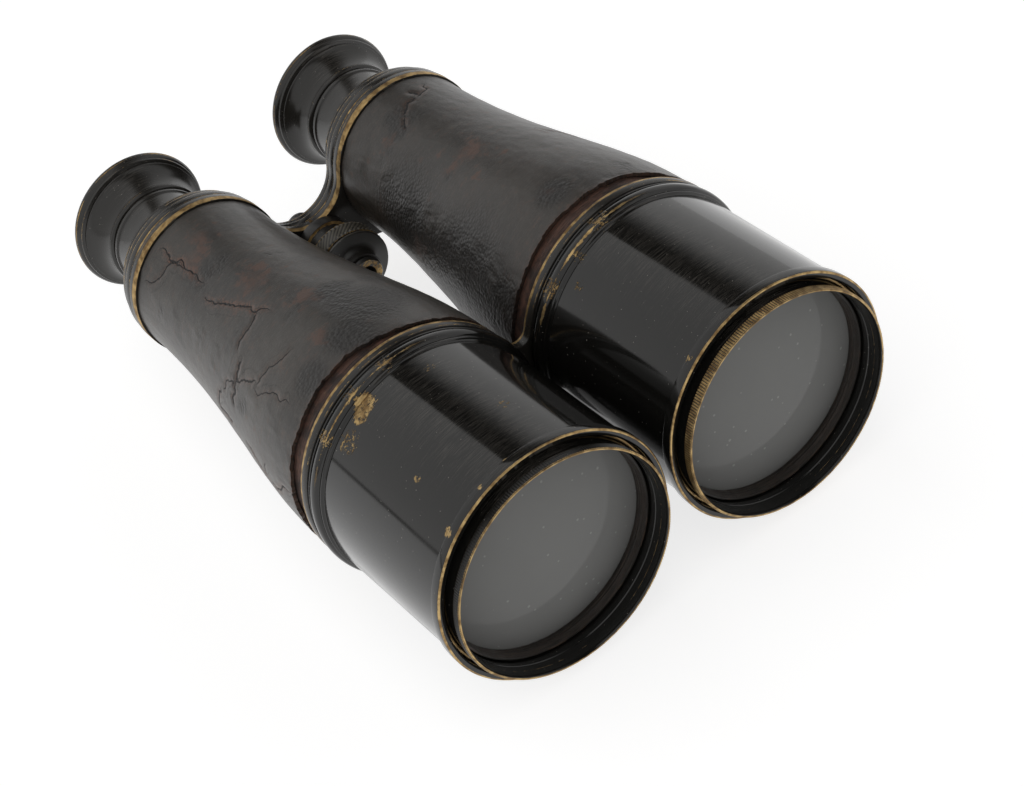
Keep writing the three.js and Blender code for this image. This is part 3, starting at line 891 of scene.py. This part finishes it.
def work_leather(piece, side, seed):
    """Wrinkles, cracks and tears on the outer face; keeps crack and rub as attributes."""
    count = len(piece.data.vertices)
    place = np.zeros(count * 3)
    piece.data.vertices.foreach_get("co", place)
    place = place.reshape(-1, 3) / MM
    dx, dz = place[:, 0] - SIDES[side] * HALF, place[:, 2] - axis_height
    y, radius, angle = place[:, 1].copy(), np.hypot(dx, dz), np.arctan2(dz, dx)
    outer = radius > cover_radius(y) - LEATHER / 2

    lift = np.zeros(count)
    skin = np.stack([np.cos(angle) * radius, y * 0.45, np.sin(angle) * radius], 1)
    skin_even = np.stack([np.cos(angle) * radius, y, np.sin(angle) * radius], 1)
    folds = fractal(skin, 7.0, seed + 2)
    lift += 0.09 * folds + 0.02 * fractal(skin_even, 2.6, seed + 3)
    puckers = {"right": 0.35, "left": 1.0}[side]
    degrees = np.mod(np.degrees(angle), 360)
    crease_band = np.exp(-((degrees - 146) / 9) ** 2) * puckers
    lift += crease_band * 0.28 * np.sin(y * 0.55 + 3 * folds) * (0.5 + 0.5 * folds)

    crack, rub = np.full(count, FAR_FROM_CRACK), np.zeros(count)
    rng = random.Random(seed)
    for start, station, heading, length, width, curl in CRACKS[side]:
        line = wander(start, station, heading, length, rng)
        gap, hand, share = distance_to_line(angle, y, radius, line)
        body = np.clip(np.minimum(share, 1 - share) * 6 + 0.25, 0, 1)
        valley = np.exp(-(gap / (0.5 + width)) ** 2) * body
        lip = np.exp(-((gap - 0.4 - 1.5 * width) / 0.7) ** 2) * body * curl
        lift += 0.09 * lip - 0.6 * width * valley
        widths_away = hand * gap / (width * np.maximum(body, 0.2))
        crack = np.where(np.abs(widths_away) < np.abs(crack), widths_away, crack)
        rub = np.maximum(rub, np.exp(-(gap / (0.9 + width)) ** 2) * body * curl)

    tear = torn_edge(angle, side, seed + 5)
    reach = np.clip(1 - (y - COVER[0]) / TEAR_REACH, 0, 1) ** 1.5
    curled = np.exp(-((y - COVER[0]) / 1.1) ** 2)
    lift += curled * (0.04 + 0.16 * fractal(skin_even, 4.0, seed + 7))
    new_y = y + tear * reach
    new_radius = radius + np.where(outer, np.clip(lift, -0.75, 0.5), 0)
    place[:, 0] = SIDES[side] * HALF + new_radius * np.cos(angle)
    place[:, 2] = axis_height + new_radius * np.sin(angle)
    place[:, 1] = new_y
    piece.data.vertices.foreach_set("co", (place * MM).ravel())
    edge = np.exp(-((y - COVER[0]) / 0.6) ** 2)
    keep_attribute(piece, "crack", crack)
    keep_attribute(piece, "rub", np.clip(np.maximum(rub, 0.35 * edge), 0, 1))
    piece.data.update()
    return lift


for number, (side, sign) in enumerate(SIDES.items()):
    outline = taper(LEATHER, COVER[0], COVER[1], 4) + taper(0, COVER[0], COVER[1], LEATHER_ROWS)[::-1]
    leather = turn(f"leather_{side}", outline, sign * HALF, steps=LEATHER_STEPS, edge=0)
    lift = work_leather(leather, side, 11 + 20 * number)
    print(f"leather_{side}: lift {lift.min():.2f} to {lift.max():.2f} mm")
    settle(leather, "body", "leather", f"leather_{side}", f"leather_cover_{side}")
# %% [markdown]
# ## Shared effects
#
# Age shows in the same few ways on every piece: paint flaked from the edges down to brass,
# hairlines that run round the lathe's axis, and dust. Each effect is a node group with named
# sockets. The first group turns a point into a place on a barrel: millimetres along it, its
# distance from the optical axis, its angle, and a point on the unrolled surface.

# %% Node group helpers
ORIGIN = (0.0, 0.0, 0.0)
RESULT_KINDS = {"Color": "Color", "Unrolled": "Vector"}     # every other result is a number


def new_group(name, inputs, outputs):
    """An empty group: the group, the values that come in, and the node its results go to."""
    group = bpy.data.node_groups.new(name, "ShaderNodeTree")
    for label, value in inputs.items():
        kind = {3: "Vector", 4: "Color"}[len(value)] if isinstance(value, tuple) else "Float"
        made = group.interface.new_socket(label, in_out="INPUT", socket_type=f"NodeSocket{kind}")
        made.default_value = value
    for label in outputs:
        kind = RESULT_KINDS.get(label, "Float")
        group.interface.new_socket(label, in_out="OUTPUT", socket_type=f"NodeSocket{kind}")
    inside, outside = group.nodes.new("NodeGroupInput"), group.nodes.new("NodeGroupOutput")
    return group, [Value(inside.outputs[label]) for label in inputs], outside


def use_group(group, **values):
    """The results of a group, placed in the tree of the values that it is given."""
    tree = next(value.tree for value in values.values() if isinstance(value, Value))
    made = tree.nodes.new("ShaderNodeGroup")
    made.node_tree = group
    set_inputs(made, **values)
    results = [Value(socket) for socket in made.outputs]
    return results if len(results) > 1 else results[0]


def noise_value(vector, scale, detail=3.0, roughness=0.55):
    return value_of(vector.tree, "ShaderNodeTexNoise", "Fac", Vector=vector, Scale=scale, Detail=detail,
                    Roughness=roughness)


def vector_math(operation, first, second, label=0):
    made = add_node(first.tree, "ShaderNodeVectorMath", operation=operation)
    plug(first, made.inputs[0])
    plug(second, made.inputs[1])
    return Value(made.outputs[label])


def stretched(unrolled, around, along):
    """A point of the unrolled surface, scaled round the barrel and along it."""
    factors = value_of(unrolled.tree, "ShaderNodeCombineXYZ", X=around, Y=along, Z=around)
    return vector_math("MULTIPLY", unrolled, factors)


def hypotenuse(first, second):
    return (first * first + second * second).calc("SQRT")


# %% Place on a barrel, and nearness to a point
PLACE, [position], outside = new_group(
    "place_on_barrel", {"Position": ORIGIN}, ["Along", "Radius", "Angle", "Unrolled"])
x, y, z = split(position)
across, height, along = abs(x) - AXIS_X, z - AXIS_Z, y * 1000
angle = height.calc("ARCTAN2", across * x.calc("SIGN"))
unrolled = value_of(PLACE, "ShaderNodeCombineXYZ", X=angle.calc("COSINE"), Y=along,
                    Z=angle.calc("SINE") + x * 200)
set_inputs(outside, Along=along, Radius=hypotenuse(across, height) * 1000, Angle=angle, Unrolled=unrolled)

NEAR, [position, centre, radius, core], outside = new_group(
    "near_point", {"Position": ORIGIN, "Centre": ORIGIN, "Radius": 0.001, "Core": 0.0}, ["Mask"])
set_inputs(outside, Mask=vector_math("DISTANCE", position, centre, "Value").ramp(radius, core))

ALONG, RADIUS, ANGLE, UNROLLED = range(4)       # the order of the first group's results

# %% Brass showing through at an edge
EDGE, [position, along, radius, station, width, amount, beyond], outside = new_group(
    "edge_wear", {"Position": ORIGIN, "Along": 0.0, "Radius": 0.0, "Station": 0.0, "Width": 0.5,
                  "Amount": 0.5, "Beyond": 0.0}, ["Mask"])
nearness = 1.0 - abs(along - station) / width
bite = noise_value(position, 900, 5, 0.7) * 0.9 + noise_value(position, 95, 3, 0.6) * 1.3
touched = nearness.calc("GREATER_THAN", 0.0) * radius.calc("GREATER_THAN", beyond)
set_inputs(outside, Mask=(nearness + bite + (amount - 2.05)).ramp(0.0, 0.12) * touched)

# %% Flakes, hairlines and dust
FLAKES, [position, unrolled, scale, amount], outside = new_group(
    "flaked_paint", {"Position": ORIGIN, "Unrolled": ORIGIN, "Scale": 260.0, "Amount": 0.3}, ["Mask"])
streaks = noise_value(stretched(unrolled, 4.0, 5.0), 1.0, 4, 0.65)
both = noise_value(position, scale, 6, 0.74) * 0.62 + streaks * 0.38
set_inputs(outside, Mask=(both + amount - 1.0).ramp(0.0, 0.02))

HAIRLINES, [unrolled, fineness, amount], outside = new_group(
    "hairlines", {"Unrolled": ORIGIN, "Fineness": 6.0, "Amount": 0.35}, ["Mask"])
lines = noise_value(stretched(unrolled, 1.0, fineness), 1.0, 4, 0.6)
set_inputs(outside, Mask=(lines + amount - 1.0).ramp(0.0, 0.06))

DUST, [position, density, size], outside = new_group(
    "dust", {"Position": ORIGIN, "Density": 500.0, "Size": 0.12}, ["Mask"])
from_speck = value_of(DUST, "ShaderNodeTexVoronoi", "Distance", Vector=position, Scale=density,
                      Randomness=1.0)
set_inputs(outside, Mask=from_speck.calc("LESS_THAN", size * noise_value(position, 240, 2)))
print("groups:", [group.name for group in bpy.data.node_groups])

# %% [markdown]
# ## Finishes
#
# Black lacquer over brass is mixed as one recipe: a mask says where brass shows, and it drives
# colour, metal and roughness together, with a Bump so that a flake has a rim. Each piece's own
# finish only says where its mask is. On the top, where hands rub, there are more hairlines.

# %% Lacquer over brass
BLACK = (0.0065, 0.0062, 0.0055, 1)
SOFT_BLACK = (0.016, 0.0145, 0.0125, 1)
BRASS = (0.52, 0.365, 0.165, 1)
DARK_BRASS = (0.20, 0.125, 0.055, 1)
SCRATCH_GREY = (0.075, 0.068, 0.06, 1)
DUST_GREY = (0.3, 0.28, 0.25, 1)
LACQUER_RELIEF = 0.00004    # metres that a flake or a ripple stands out
FINISHES = {}

LACQUER, [position, worn, black, gloss, scratch], outside = new_group(
    "lacquer_over_brass", {"Position": ORIGIN, "Worn": 0.0, "Black": BLACK, "Gloss": 0.12,
                           "Scratch": 0.32}, ["Color", "Roughness", "Surface"])
_, _, angle, unrolled = use_group(PLACE, Position=position)
brass = noise_value(position, 420, 4, 0.6).ramp(0.35, 0.65).mix(DARK_BRASS, BRASS)
from_top = abs(angle - math.pi / 2)
handled = from_top.ramp(0.75, 0.1, 0.0, 0.13)
lines = use_group(HAIRLINES, Unrolled=unrolled, Fineness=8.5, Amount=handled + scratch)
painted = (lines * from_top.ramp(0.8, 0.2, 0.12, 0.5)).mix(black, SCRATCH_GREY)
painted = (use_group(DUST, Position=position, Density=620.0, Size=0.13) * 0.5).mix(painted, DUST_GREY)
smeared = noise_value(position, 60, 3).ramp(0.3, 0.75, 0.0, 0.05)
set_inputs(outside, Color=worn.mix(painted, brass),
           Roughness=gloss + smeared + lines * 0.03 + worn * 0.26,
           Surface=noise_value(position, 150, 2) * 0.25 - worn)


def new_finish(name):
    """A new material: its shader, and the point that is being painted, in metres."""
    material = FINISHES[name] = bpy.data.materials.new(name)
    material.use_nodes = True
    tree = material.node_tree
    return tree.nodes["Principled BSDF"], value_of(tree, "ShaderNodeTexCoord", "Object")


def highest(masks):
    """The largest of several masks at each point."""
    top = masks[0]
    for mask in masks[1:]:
        top = top.calc("MAXIMUM", mask)
    return top


def edges(position, place, stations):
    """Edge wear masks for a list of (station, width, amount) or (..., least radius), in mm."""
    return [use_group(EDGE, Position=position, Along=place[ALONG], Radius=place[RADIUS], Station=float(at),
                      Width=width, Amount=amount, Beyond=float(beyond[0] if beyond else 0))
            for at, width, amount, *beyond in stations]


def flakes(position, place, scale, amount):
    """Flaked paint; the amount is a number, or a mask for a patch."""
    return use_group(FLAKES, Position=position, Unrolled=place[UNROLLED], Scale=scale, Amount=amount)


def mask_of(tree, name):
    return value_of(tree, "ShaderNodeAttribute", "Fac", attribute_name=name)


def bump(shader, height, distance, strength=1.0, invert=False):
    set_inputs(shader, Normal=value_of(shader.id_data, "ShaderNodeBump", invert=invert, Height=height,
                                       Strength=strength, Distance=distance))


def lacquered(name, stations, scattered=None, rim_only=False, more=None, black=SOFT_BLACK,
              gloss=0.24, scratch=0.32):
    """A lacquer finish: worn edges, (scale, amount) of scattered flakes, and a function for more."""
    shader, position = new_finish(name)
    place = use_group(PLACE, Position=position)
    masks = edges(position, place, stations)
    if rim_only:
        masks = [mask * mask_of(position.tree, "rim") for mask in masks]
    if more:
        masks += more(position, place)
    if scattered:
        masks.append(flakes(position, place, *scattered))
    worn = highest(masks)
    colour, rough, surface = use_group(
        LACQUER, Position=position, Worn=worn, Gloss=gloss, Scratch=scratch,
        Black=black(position) if callable(black) else black)
    set_inputs(shader, Base_Color=colour, Roughness=rough, Metallic=worn)
    bump(shader, surface, LACQUER_RELIEF)
    return shader


# %% Sunshade lacquer
BEAD_MIDDLE = SHADE[1] - 2.4
HELD_AT = math.radians(117)         # where the fingers pull the sunshade out
SHADE_SPOTS = {                     # angle, station, radius in mm, amount
    "right": [
        (114, -47.2, 6.5, 0.56), (119, -48.3, 5.0, 0.55), (131, -49.0, 8.0, 0.475), (84, -51.5, 3.5, 0.47),
        (76, -73.5, 4.0, 0.46), (124, -73.0, 2.5, 0.50), (115, -42.9, 6.0, 0.49), (96, -42.9, 6.0, 0.48),
        (136, -42.8, 6.0, 0.49), (133, -88.8, 3.5, 0.55), (111, -89.6, 2.5, 0.55), (96, -88.8, 2.0, 0.52),
        (250, -70.0, 8.0, 0.50)],
    "left": [
        (128, -50.0, 4.5, 0.45), (118, -45.6, 5.0, 0.46), (100, -42.6, 8.0, 0.48), (136, -42.8, 7.0, 0.49),
        (128, -89.5, 3.0, 0.53), (300, -60.0, 9.0, 0.50)],
}
SPOT_GRAIN = 1050.0


def near_shell(position, side, degrees, y, shell, size, core):
    """A mask round a point on a barrel's surface, given by its angle and station."""
    angle = math.radians(degrees)
    centre = (SIDES[side] * AXIS_X + shell * math.cos(angle) * MM, y * MM,
              AXIS_Z + shell * math.sin(angle) * MM)
    return use_group(NEAR, Position=position, Centre=centre, Radius=size * MM, Core=size * MM * core)


def shade_wear(position, place):
    """Worn patches that thin out away from their middles, and the bead where it is held."""
    held = abs(place[ANGLE] - HELD_AT).ramp(0.75, 0.45)
    return [edges(position, place, [(BEAD_MIDDLE - 0.8, 1.0, 0.14)])[0] * held] + [
        flakes(position, place, SPOT_GRAIN,
               near_shell(position, side, degrees, y, SHADE_RADIUS, size, 1 / 4) * amount)
        for side, spots in SHADE_SPOTS.items() for degrees, y, size, amount in spots]


lacquered("lacquer", [(SHADE[0] + 0.1, 0.3, 0.75, LIP_RADIUS - 0.5), (SHADE[1], 0.4, 0.0)],
          (330.0, 0.285), more=shade_wear, black=BLACK, gloss=0.075, scratch=0.36)

# %% Bezel, eyepiece, bridge and wheel finishes
def grip_wear(position, place):
    """The left grip's crests are worn bright; the right one kept its black."""
    on_left = split(position)[0].calc("GREATER_THAN", 0.0)
    crest = place[RADIUS].ramp(BEZEL_RADIUS - 0.15, BEZEL_RADIUS - 0.06)
    return [crest * (on_left * noise_value(position, 60, 3).ramp(0.22, 0.4, 0.6, 1.0))]


def wheel_skin(position):
    """Black in the knurling's valleys, rubbed grey-brown on its points."""
    x, y, z = split(position)
    from_screw = hypotenuse(z - SCREW_Z, x) * 1000
    return from_screw.ramp(WHEEL_RADIUS - KNURL_DEPTH, WHEEL_RADIUS - 0.05).mix(
        SOFT_BLACK, (0.13, 0.118, 0.095, 1))


lacquered("bezel", [(CELL[0], 0.14, 0.75, BEZEL_RADIUS - 0.6), (CELL[0] + 2.2, 0.35, 0.0)],
          (420.0, 0.32), black=BLACK, gloss=0.14, scratch=0.4)
lacquered("bezel_grip", [(CELL[0] + 0.2, 0.15, 0.4)], more=grip_wear, black=BLACK, scratch=0.3)
lacquered("eye_black", [
    (EYECUP[0] + 9.5, 0.3, -0.1), (EYECUP[0] + 11.0, 0.6, 0.12), (EYECUP[0] + 0.9, 0.4, -0.05),
    (NECK[0] + 0.4, 0.4, 0.35), (NECK[0] + 1.3, 0.4, 0.0)], (380.0, 0.3), gloss=0.2, scratch=0.36)
lacquered("eye_plate", [
    (EYE_PLATE[0] + 0.4, 0.6, 0.1), (step_y - 0.4, 0.45, 0.12), (EYE_PLATE[1] - 0.4, 0.5, 0.05)],
    (300.0, 0.33), rim_only=True)
bridge = lacquered("bridge_edge", [
    (FRONT_PLATE[1] - 0.7, 0.6, 0.75), (FRONT_PLATE[0] + 0.5, 0.5, 0.0),
    (REAR_PLATE[0] + 0.9, 1.1, 0.85), (REAR_PLATE[1] - 0.6, 0.5, -0.05)],
    (300.0, 0.35), rim_only=True, gloss=0.26)
# The flat faces reflect little so they read near black: painted shade on the faces that lie in shadow between
# the barrels.
set_inputs(bridge, Specular_IOR_Level=mask_of(bridge.id_data, "rim").ramp(0.0, 1.0, 0.1, 0.5))
lacquered("wheel_black", [
    (rim_front, 0.3, 0.2), (wheel_rear, 0.3, 0.3), (WHEEL[0], 0.7, 0.0), (BEARING[1] - 3.5, 0.3, 0.4)],
    (520.0, 0.37), black=wheel_skin, gloss=0.32)
print("finishes so far:", list(FINISHES))

# %% [markdown]
# ## Plain brass, blackened rings and steel
#
# Inside, the draw tubes are bare brass gone brown, the rings are blackened against stray light, and
# the screw is oily steel. The strip of barrel that the torn leather has bared keeps a red-brown
# skin of old glue over fine lathe lines; under the sunshade the tube is rubbed brass.

# %% Inner finishes
METAL, [position, dark, light, fineness, roughness], outside = new_group(
    "lathe_turned_metal", {"Position": ORIGIN, "Dark": DARK_BRASS, "Light": BRASS, "Fineness": 9.0,
                           "Roughness": 0.3}, ["Color", "Roughness", "Lines"])
patches = noise_value(position, 130, 4, 0.6).ramp(0.3, 0.7)
unrolled = use_group(PLACE, Position=position)[UNROLLED]
lines = use_group(HAIRLINES, Unrolled=unrolled, Fineness=fineness, Amount=0.5)
set_inputs(outside, Color=(lines * 0.35).mix(patches.mix(dark, light), dark), Lines=lines,
           Roughness=roughness + patches.ramp(0.0, 1.0, 0.12, 0.0))

for name, dark, light, roughness, fineness in (
        ("inner_brass", (0.13, 0.075, 0.03, 1), (0.36, 0.22, 0.08, 1), 0.3, 9.0),
        ("steel", (0.07, 0.065, 0.06, 1), (0.3, 0.29, 0.27, 1), 0.32, 5.0)):
    shader, position = new_finish(name)
    colour, rough, lines = use_group(METAL, Position=position, Dark=dark, Light=light,
                                     Roughness=roughness, Fineness=fineness)
    set_inputs(shader, Base_Color=colour, Roughness=rough, Metallic=1.0)
    bump(shader, lines, 0.00002, invert=True)

shader, position = new_finish("inner_black")
unrolled = use_group(PLACE, Position=position)[UNROLLED]
lines = use_group(HAIRLINES, Unrolled=unrolled, Fineness=12.0, Amount=0.5)
set_inputs(shader, Base_Color=(lines * 0.5).mix((0.012, 0.010, 0.008, 1), (0.07, 0.045, 0.03, 1)),
           Roughness=noise_value(position, 300, 3).ramp(0.3, 0.7, 0.35, 0.55))
bump(shader, lines, 0.00003, invert=True)

shader, position = new_finish("lined_tube")
place = use_group(PLACE, Position=position)
lines = use_group(HAIRLINES, Unrolled=place[UNROLLED], Fineness=11.0, Amount=0.52)
stain = noise_value(position, 170, 5, 0.65).ramp(0.38, 0.66)
glue = stain.mix((0.034, 0.019, 0.015, 1), (0.15, 0.070, 0.046, 1))
glue = (lines * 0.8).mix(glue, (0.012, 0.008, 0.006, 1))
slid_on = noise_value(position, 30, 3).mix((0.27, 0.18, 0.08, 1), (0.40, 0.275, 0.125, 1))
bare = (lines * 0.3).mix((stain * 0.35).mix(slid_on, DARK_BRASS), DARK_BRASS)
sliding = place[ALONG].calc("LESS_THAN", float(FRONT_PLATE[1]) - 0.5)
metal = sliding.calc("MAXIMUM", flakes(position, place, 500.0, 0.38))
set_inputs(shader, Base_Color=metal.mix(glue, bare), Metallic=metal,
           Roughness=metal.ramp(0.0, 1.0, 0.5, 0.3))
bump(shader, lines, 0.00005, invert=True)
print("inner finishes made")

# %% [markdown]
# ## Leather
#
# The leather was black. Handling has polished it to a grey-brown, with its pebble grain left only
# in patches, and where it has rubbed thin it goes red-brown. The pebbles are Voronoi cells as a
# Bump. A crack shows where the signed distance, made ragged with noise, passes through zero; there
# its opening is painted near black, painted shade in a gap too narrow for the mesh.

# %% Leather finish
UNWORN = (0.007, 0.006, 0.0055, 1)
RUBBED_RED = (0.11, 0.054, 0.036, 1)
SCUFFED_RED = (0.14, 0.058, 0.032, 1)
LEATHER_RELIEF = 0.0002

SKIN, [position, grey, crack, scuff, rubbed, pebbled, red], outside = new_group(
    "old_leather", {"Position": ORIGIN, "Grey": (0.03, 0.03, 0.03, 1), "Crack": 9.0, "Scuff": 0.0,
                    "Rubbed": 0.0, "Pebbled": 0.0, "Red": 0.5}, ["Color", "Roughness", "Surface"])
unrolled = use_group(PLACE, Position=position)[UNROLLED]
fine = noise_value(position, 1900, 4, 0.7)
mottle = noise_value(position, 260, 5, 0.7).ramp(0.45, 0.7)
colour = noise_value(position, 38, 4, 0.6).ramp(0.35, 0.65).mix((0.018, 0.0155, 0.013, 1), grey)
colour = (mottle * 0.45).mix(colour, (0.048, 0.041, 0.034, 1))
colour = fine.ramp(0.52, 0.72, 0.0, 0.5).mix(colour, (0.075, 0.065, 0.055, 1))
colour = fine.ramp(0.44, 0.3, 0.0, 0.6).mix(colour, (0.006, 0.005, 0.0045, 1))
redness = (noise_value(unrolled, 1.6, 5, 0.7) + red).ramp(1.1, 1.35)
redness = redness.calc("MAXIMUM", (rubbed + mottle).ramp(0.65, 1.3, 0.0, 0.9))
colour = (redness * 0.7).mix(colour, RUBBED_RED)
colour = (scuff * fine.ramp(0.42, 0.62)).mix(colour, SCUFFED_RED)
ragged = (noise_value(position, 1300, 4, 0.7) - 0.5) * 2.6
shaded_opening = abs(crack + ragged).ramp(0.9, 0.35)
# painted shade: the crack's opening is coloured near black, a gap the grid cannot open
colour = shaded_opening.mix(colour, (0.003, 0.0025, 0.0025, 1))
pebbled = noise_value(position, 55, 3).ramp(0.56, 0.72).calc("MAXIMUM", pebbled)
pebbles = value_of(SKIN, "ShaderNodeTexVoronoi", "Distance", Vector=position, Scale=1050.0,
                   Randomness=0.9)
grain = pebbles * pebbled.ramp(0.0, 1.0, 0.07, 1.0)
lines = use_group(HAIRLINES, Unrolled=unrolled, Fineness=5.0, Amount=0.48)
set_inputs(outside, Color=(pebbled * 0.75).mix(colour, UNWORN),
           Surface=grain * -1.0 + fine * 0.10 + lines * 0.05 - shaded_opening * 1.5,
           Roughness=pebbled.ramp(0.0, 1.0, 0.36, 0.42) + redness * 0.15 + shaded_opening * 0.3)


def leather_finish(side, grey, red, rubbed, pebbled):
    """Leather for one side; rubbed and pebbled are spots of (angle, station, radius in mm)."""
    shader, position = new_finish(f"leather_{side}")
    rubbed, pebbled = (highest([
        near_shell(position, side, degrees, y, float(cover_radius(y)), size, core)
        for degrees, y, size in spots]) for spots, core in ((rubbed, 0), (pebbled, 1 / 3)))
    colour, rough, surface = use_group(
        SKIN, Position=position, Grey=grey, Red=red, Crack=mask_of(position.tree, "crack"),
        Scuff=mask_of(position.tree, "rub"), Rubbed=rubbed, Pebbled=pebbled)
    set_inputs(shader, Base_Color=colour, Roughness=rough, Specular_IOR_Level=0.55)
    bump(shader, surface, LEATHER_RELIEF, 0.9)


leather_finish("right", (0.036, 0.0305, 0.025, 1), 0.56,
               [(100, 15, 14), (112, 40, 12), (98, 45, 9), (104, -22, 6), (92, -5, 8)],
               [(95, -28, 9), (120, -29, 7), (75, -20, 14)])
leather_finish("left", (0.033, 0.027, 0.022, 1), 0.56,
               [(100, -24, 3.5), (112, 2, 3), (92, 2, 3), (101, 12, 13), (125, 41, 5), (170, 16, 10)],
               [(158, -10, 24), (155, 25, 19), (100, -25, 7), (160, -28, 14), (190, 0, 30)])
print("leather finished")

# %% [markdown]
# ## Glass
#
# The barrels behind the lenses are black, so what shows is an even grey on the front face: partly
# the film of old dust, partly painted reflection of the white room, and the index is set low so
# that the lens's own mirror image stays faint. So a share of the front lens scatters and the rest
# is clear. Single specks are dots of dull coat on top.

# %% Glass finishes
FILM, [position, tint, speck_size], outside = new_group(
    "dust_film_and_painted_reflection", {"Position": ORIGIN, "Tint": (1, 1, 1, 1), "Speck Size": 0.0}, ["Color", "Specks"])
cloudy = noise_value(position, 60, 4, 0.6).ramp(0.3, 0.75, 0.0, 0.036)
set_inputs(outside, Color=cloudy.mix(tint, (0, 0, 0, 1)),
           Specks=use_group(DUST, Position=position, Density=330.0, Size=speck_size) * 0.8)

# name, tint, index of refraction, share of light let through, size of specks
for name, tint, ior, clear, speck_size in (
        # the front lens's grey tint is dust film and painted reflection of the white room together
        ("glass", (0.26, 0.26, 0.2535, 1), 1.17, 0.45, 0.2),
        ("clear_glass", (0.94, 0.94, 0.9165, 1), 1.45, 1.0, 0.0)):
    shader, position = new_finish(name)
    colour, specks = use_group(FILM, Position=position, Tint=tint, Speck_Size=speck_size)
    set_inputs(shader, Base_Color=colour, Coat_Weight=specks, Coat_Roughness=0.5, Coat_IOR=1.8,
               Roughness=0.0, Transmission_Weight=clear, IOR=ior)
print("glass finished")

# %% [markdown]
# ## Put the finishes on
#
# Each piece takes one finish. Four kinds of piece that are hidden inside keep the frame's own
# solids, because nothing of them shows except a bare surface down a bore.

# %% Put the finishes on
for piece, finish in FINISHED:
    piece.data.materials.clear()
    piece.data.materials.append(FINISHES[finish])

CARRIED_OVER = {"stop_ring": "inner_black", "guide_bush": "inner_brass", "ocular_cell": "inner_brass",
                "wheel_retainer": "inner_brass"}
for node, finish in CARRIED_OVER.items():
    for name in ([node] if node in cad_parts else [f"{node}_{side}" for side in SIDES]):
        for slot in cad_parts[name].material_slots:
            slot.material = FINISHES[finish]
print("painted", len(FINISHED), "pieces")

# %% Sizes and the end
final_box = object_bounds()
for name, corner, cad_corner in zip(("low", "high"), final_box, CAD_BOX):
    print(name, [round((a - b) / MM, 2) for a, b in zip(corner, cad_corner)], "mm from the CAD box")
